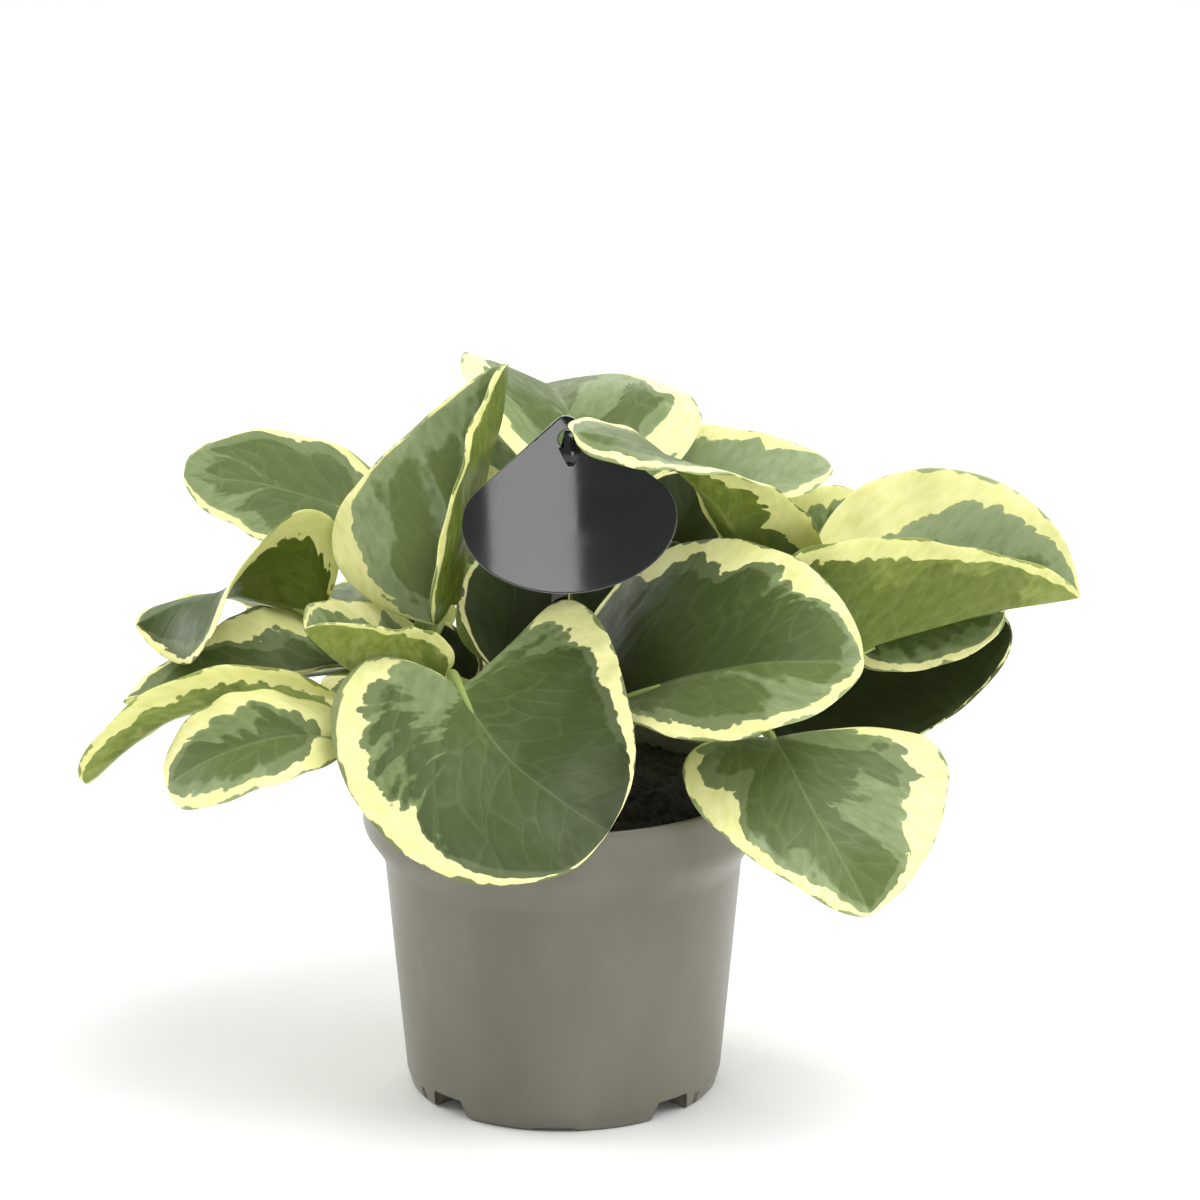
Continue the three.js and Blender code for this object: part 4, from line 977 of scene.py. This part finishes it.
def stake_mesh():
    """The stake from its point in the soil, up behind the card, and over through the card's hole."""
    # Each place on its middle line, with the width there.
    stations = [
        ((-5.4, -12, 52), 2), ((-5, -12.3, 60), 5), ((-0.9, -15.6, 157), 5), ((1.8, -16, 201), 4.4),
        ((2, -16.4, 204.4), 3.2), ((2.1, -17.4, 205.6), 3.2), ((2.1, -18.8, 205.5), 3.2),
        ((2.1, -20.2, 204.2), 3.6), ((2.2, -20.8, 201.6), 3.6), ((2.2, -20.8, 201), 6.4),
        ((2.3, -20.8, 198), 3.8), ((2.4, -20.8, 196), 1.6)]
    points = np.array([place for place, _ in stations], float)
    along = np.gradient(points, axis=0)
    # The strip faces front all the way, so its slight lean sideways is left out of its direction.
    along[:, 0] = 0
    along = unit(along)
    sideways = np.array([1.0, 0, 0])
    loops = []
    for point, direction, (_, width) in zip(points, along, stations):
        face = np.cross(direction, sideways)
        loops.append([point + sideways * x * width / 2 + face * n * stake_half_thickness_mm
                      for x, n in stake_section])
    return closed_skin("tag_stake", np.array(loops) * mm, points[0] * mm, points[-1] * mm)


card_sheet = tag_sheet()
add_piece("tag_card", card_mesh(), card_sheet, "tag_card")
add_piece("tag_stake", stake_mesh(), card_sheet, "tag_stake")


# The floor is a wide sheet of matte white studio paper. Softboxes stand above, behind and at both
# sides, and a narrow one stands low in front, below the camera's view.

floor_half_width = 4.0


def studio_paper():
    """Seamless paper, uncoated: matte and evenly white."""
    material, tree = start_material("studio_paper_uncoated")
    place = add_node(tree, "TexCoord").outputs["Object"]
    fibres = add_node(tree, "TexNoise", {"Vector": place, "Scale": 1 / (40 * mm), "Detail": 2})
    colour = add_node(tree, "ValToRGB", {"Fac": fibres}, stops=((0, "#f8f8f8"), (1, "#fbfbfb")))
    return finish_material(material, {
        "Base Color": colour, "Roughness": 0.8, "Specular IOR Level": 0.2})


floor_mesh = bpy.data.meshes.new("floor")
floor_corners = [(-floor_half_width, -floor_half_width, 0), (floor_half_width, -floor_half_width, 0),
                 (floor_half_width, floor_half_width, 0), (-floor_half_width, floor_half_width, 0)]
floor_mesh.from_pydata(floor_corners, [], [(0, 1, 2, 3)])
floor_mesh.materials.append(studio_paper())
floor = bpy.data.objects.new("floor", floor_mesh)
bpy.context.collection.objects.link(floor)

world = bpy.data.worlds.new("white_studio")
world.use_nodes = True
world.node_tree.nodes["Background"].inputs["Color"].default_value = (1, 1, 1, 1)
world.node_tree.nodes["Background"].inputs["Strength"].default_value = 0.4
bpy.context.scene.world = world


def turned_towards(direction):
    """Rotation of something that looks along its own -Z so that it looks along a direction."""
    flat = math.hypot(direction[0], direction[1])
    return (math.atan2(flat, -direction[2]), 0, math.atan2(direction[1], direction[0]) - math.pi / 2)


def add_softbox(name, place, aim, width, height, power):
    """A soft lamp; place, aim and size in metres, power in watts."""
    lamp = bpy.data.lights.new(name, "AREA")
    lamp.shape = "RECTANGLE"
    lamp.size = width
    lamp.size_y = height
    lamp.energy = power
    holder = bpy.data.objects.new(name, lamp)
    bpy.context.collection.objects.link(holder)
    holder.location = place
    holder.rotation_euler = turned_towards(np.array(aim, float) - np.array(place, float))
    holder.visible_camera = False


add_softbox("softbox_above", (0.5, -0.45, 1.55), (0, 0, 0.12), 1.2, 1.2, 20)
add_softbox("softbox_behind", (0, 2.6, 1.5), (0, 0.5, 0), 2.6, 1.2, 26)
add_softbox("softbox_left", (-1.25, 0.5, 0.7), (0, 0, 0.1), 1.0, 1.2, 17)
add_softbox("softbox_right", (1.35, -0.05, 0.7), (0, 0, 0.1), 1.0, 1.2, 11)
add_softbox("strip_in_front", (0.085, -0.9, 0.165), (0.085, 0, 0.165), 0.17, 0.3, 0.75)


# The camera looks slightly down at the plant from in front, from a little over a metre away.

camera_place = np.array([0, -1.3, 0.512])
camera_aim = np.array([0.011, 0, 0.15])
camera = bpy.data.cameras.new("camera")
camera.sensor_width = 36
camera.lens = 136.8
camera_holder = bpy.data.objects.new("camera", camera)
bpy.context.collection.objects.link(camera_holder)
camera_holder.location = camera_place
camera_holder.rotation_euler = turned_towards(camera_aim - camera_place)
bpy.context.scene.camera = camera_holder
bpy.context.scene.view_settings.view_transform = "Standard"
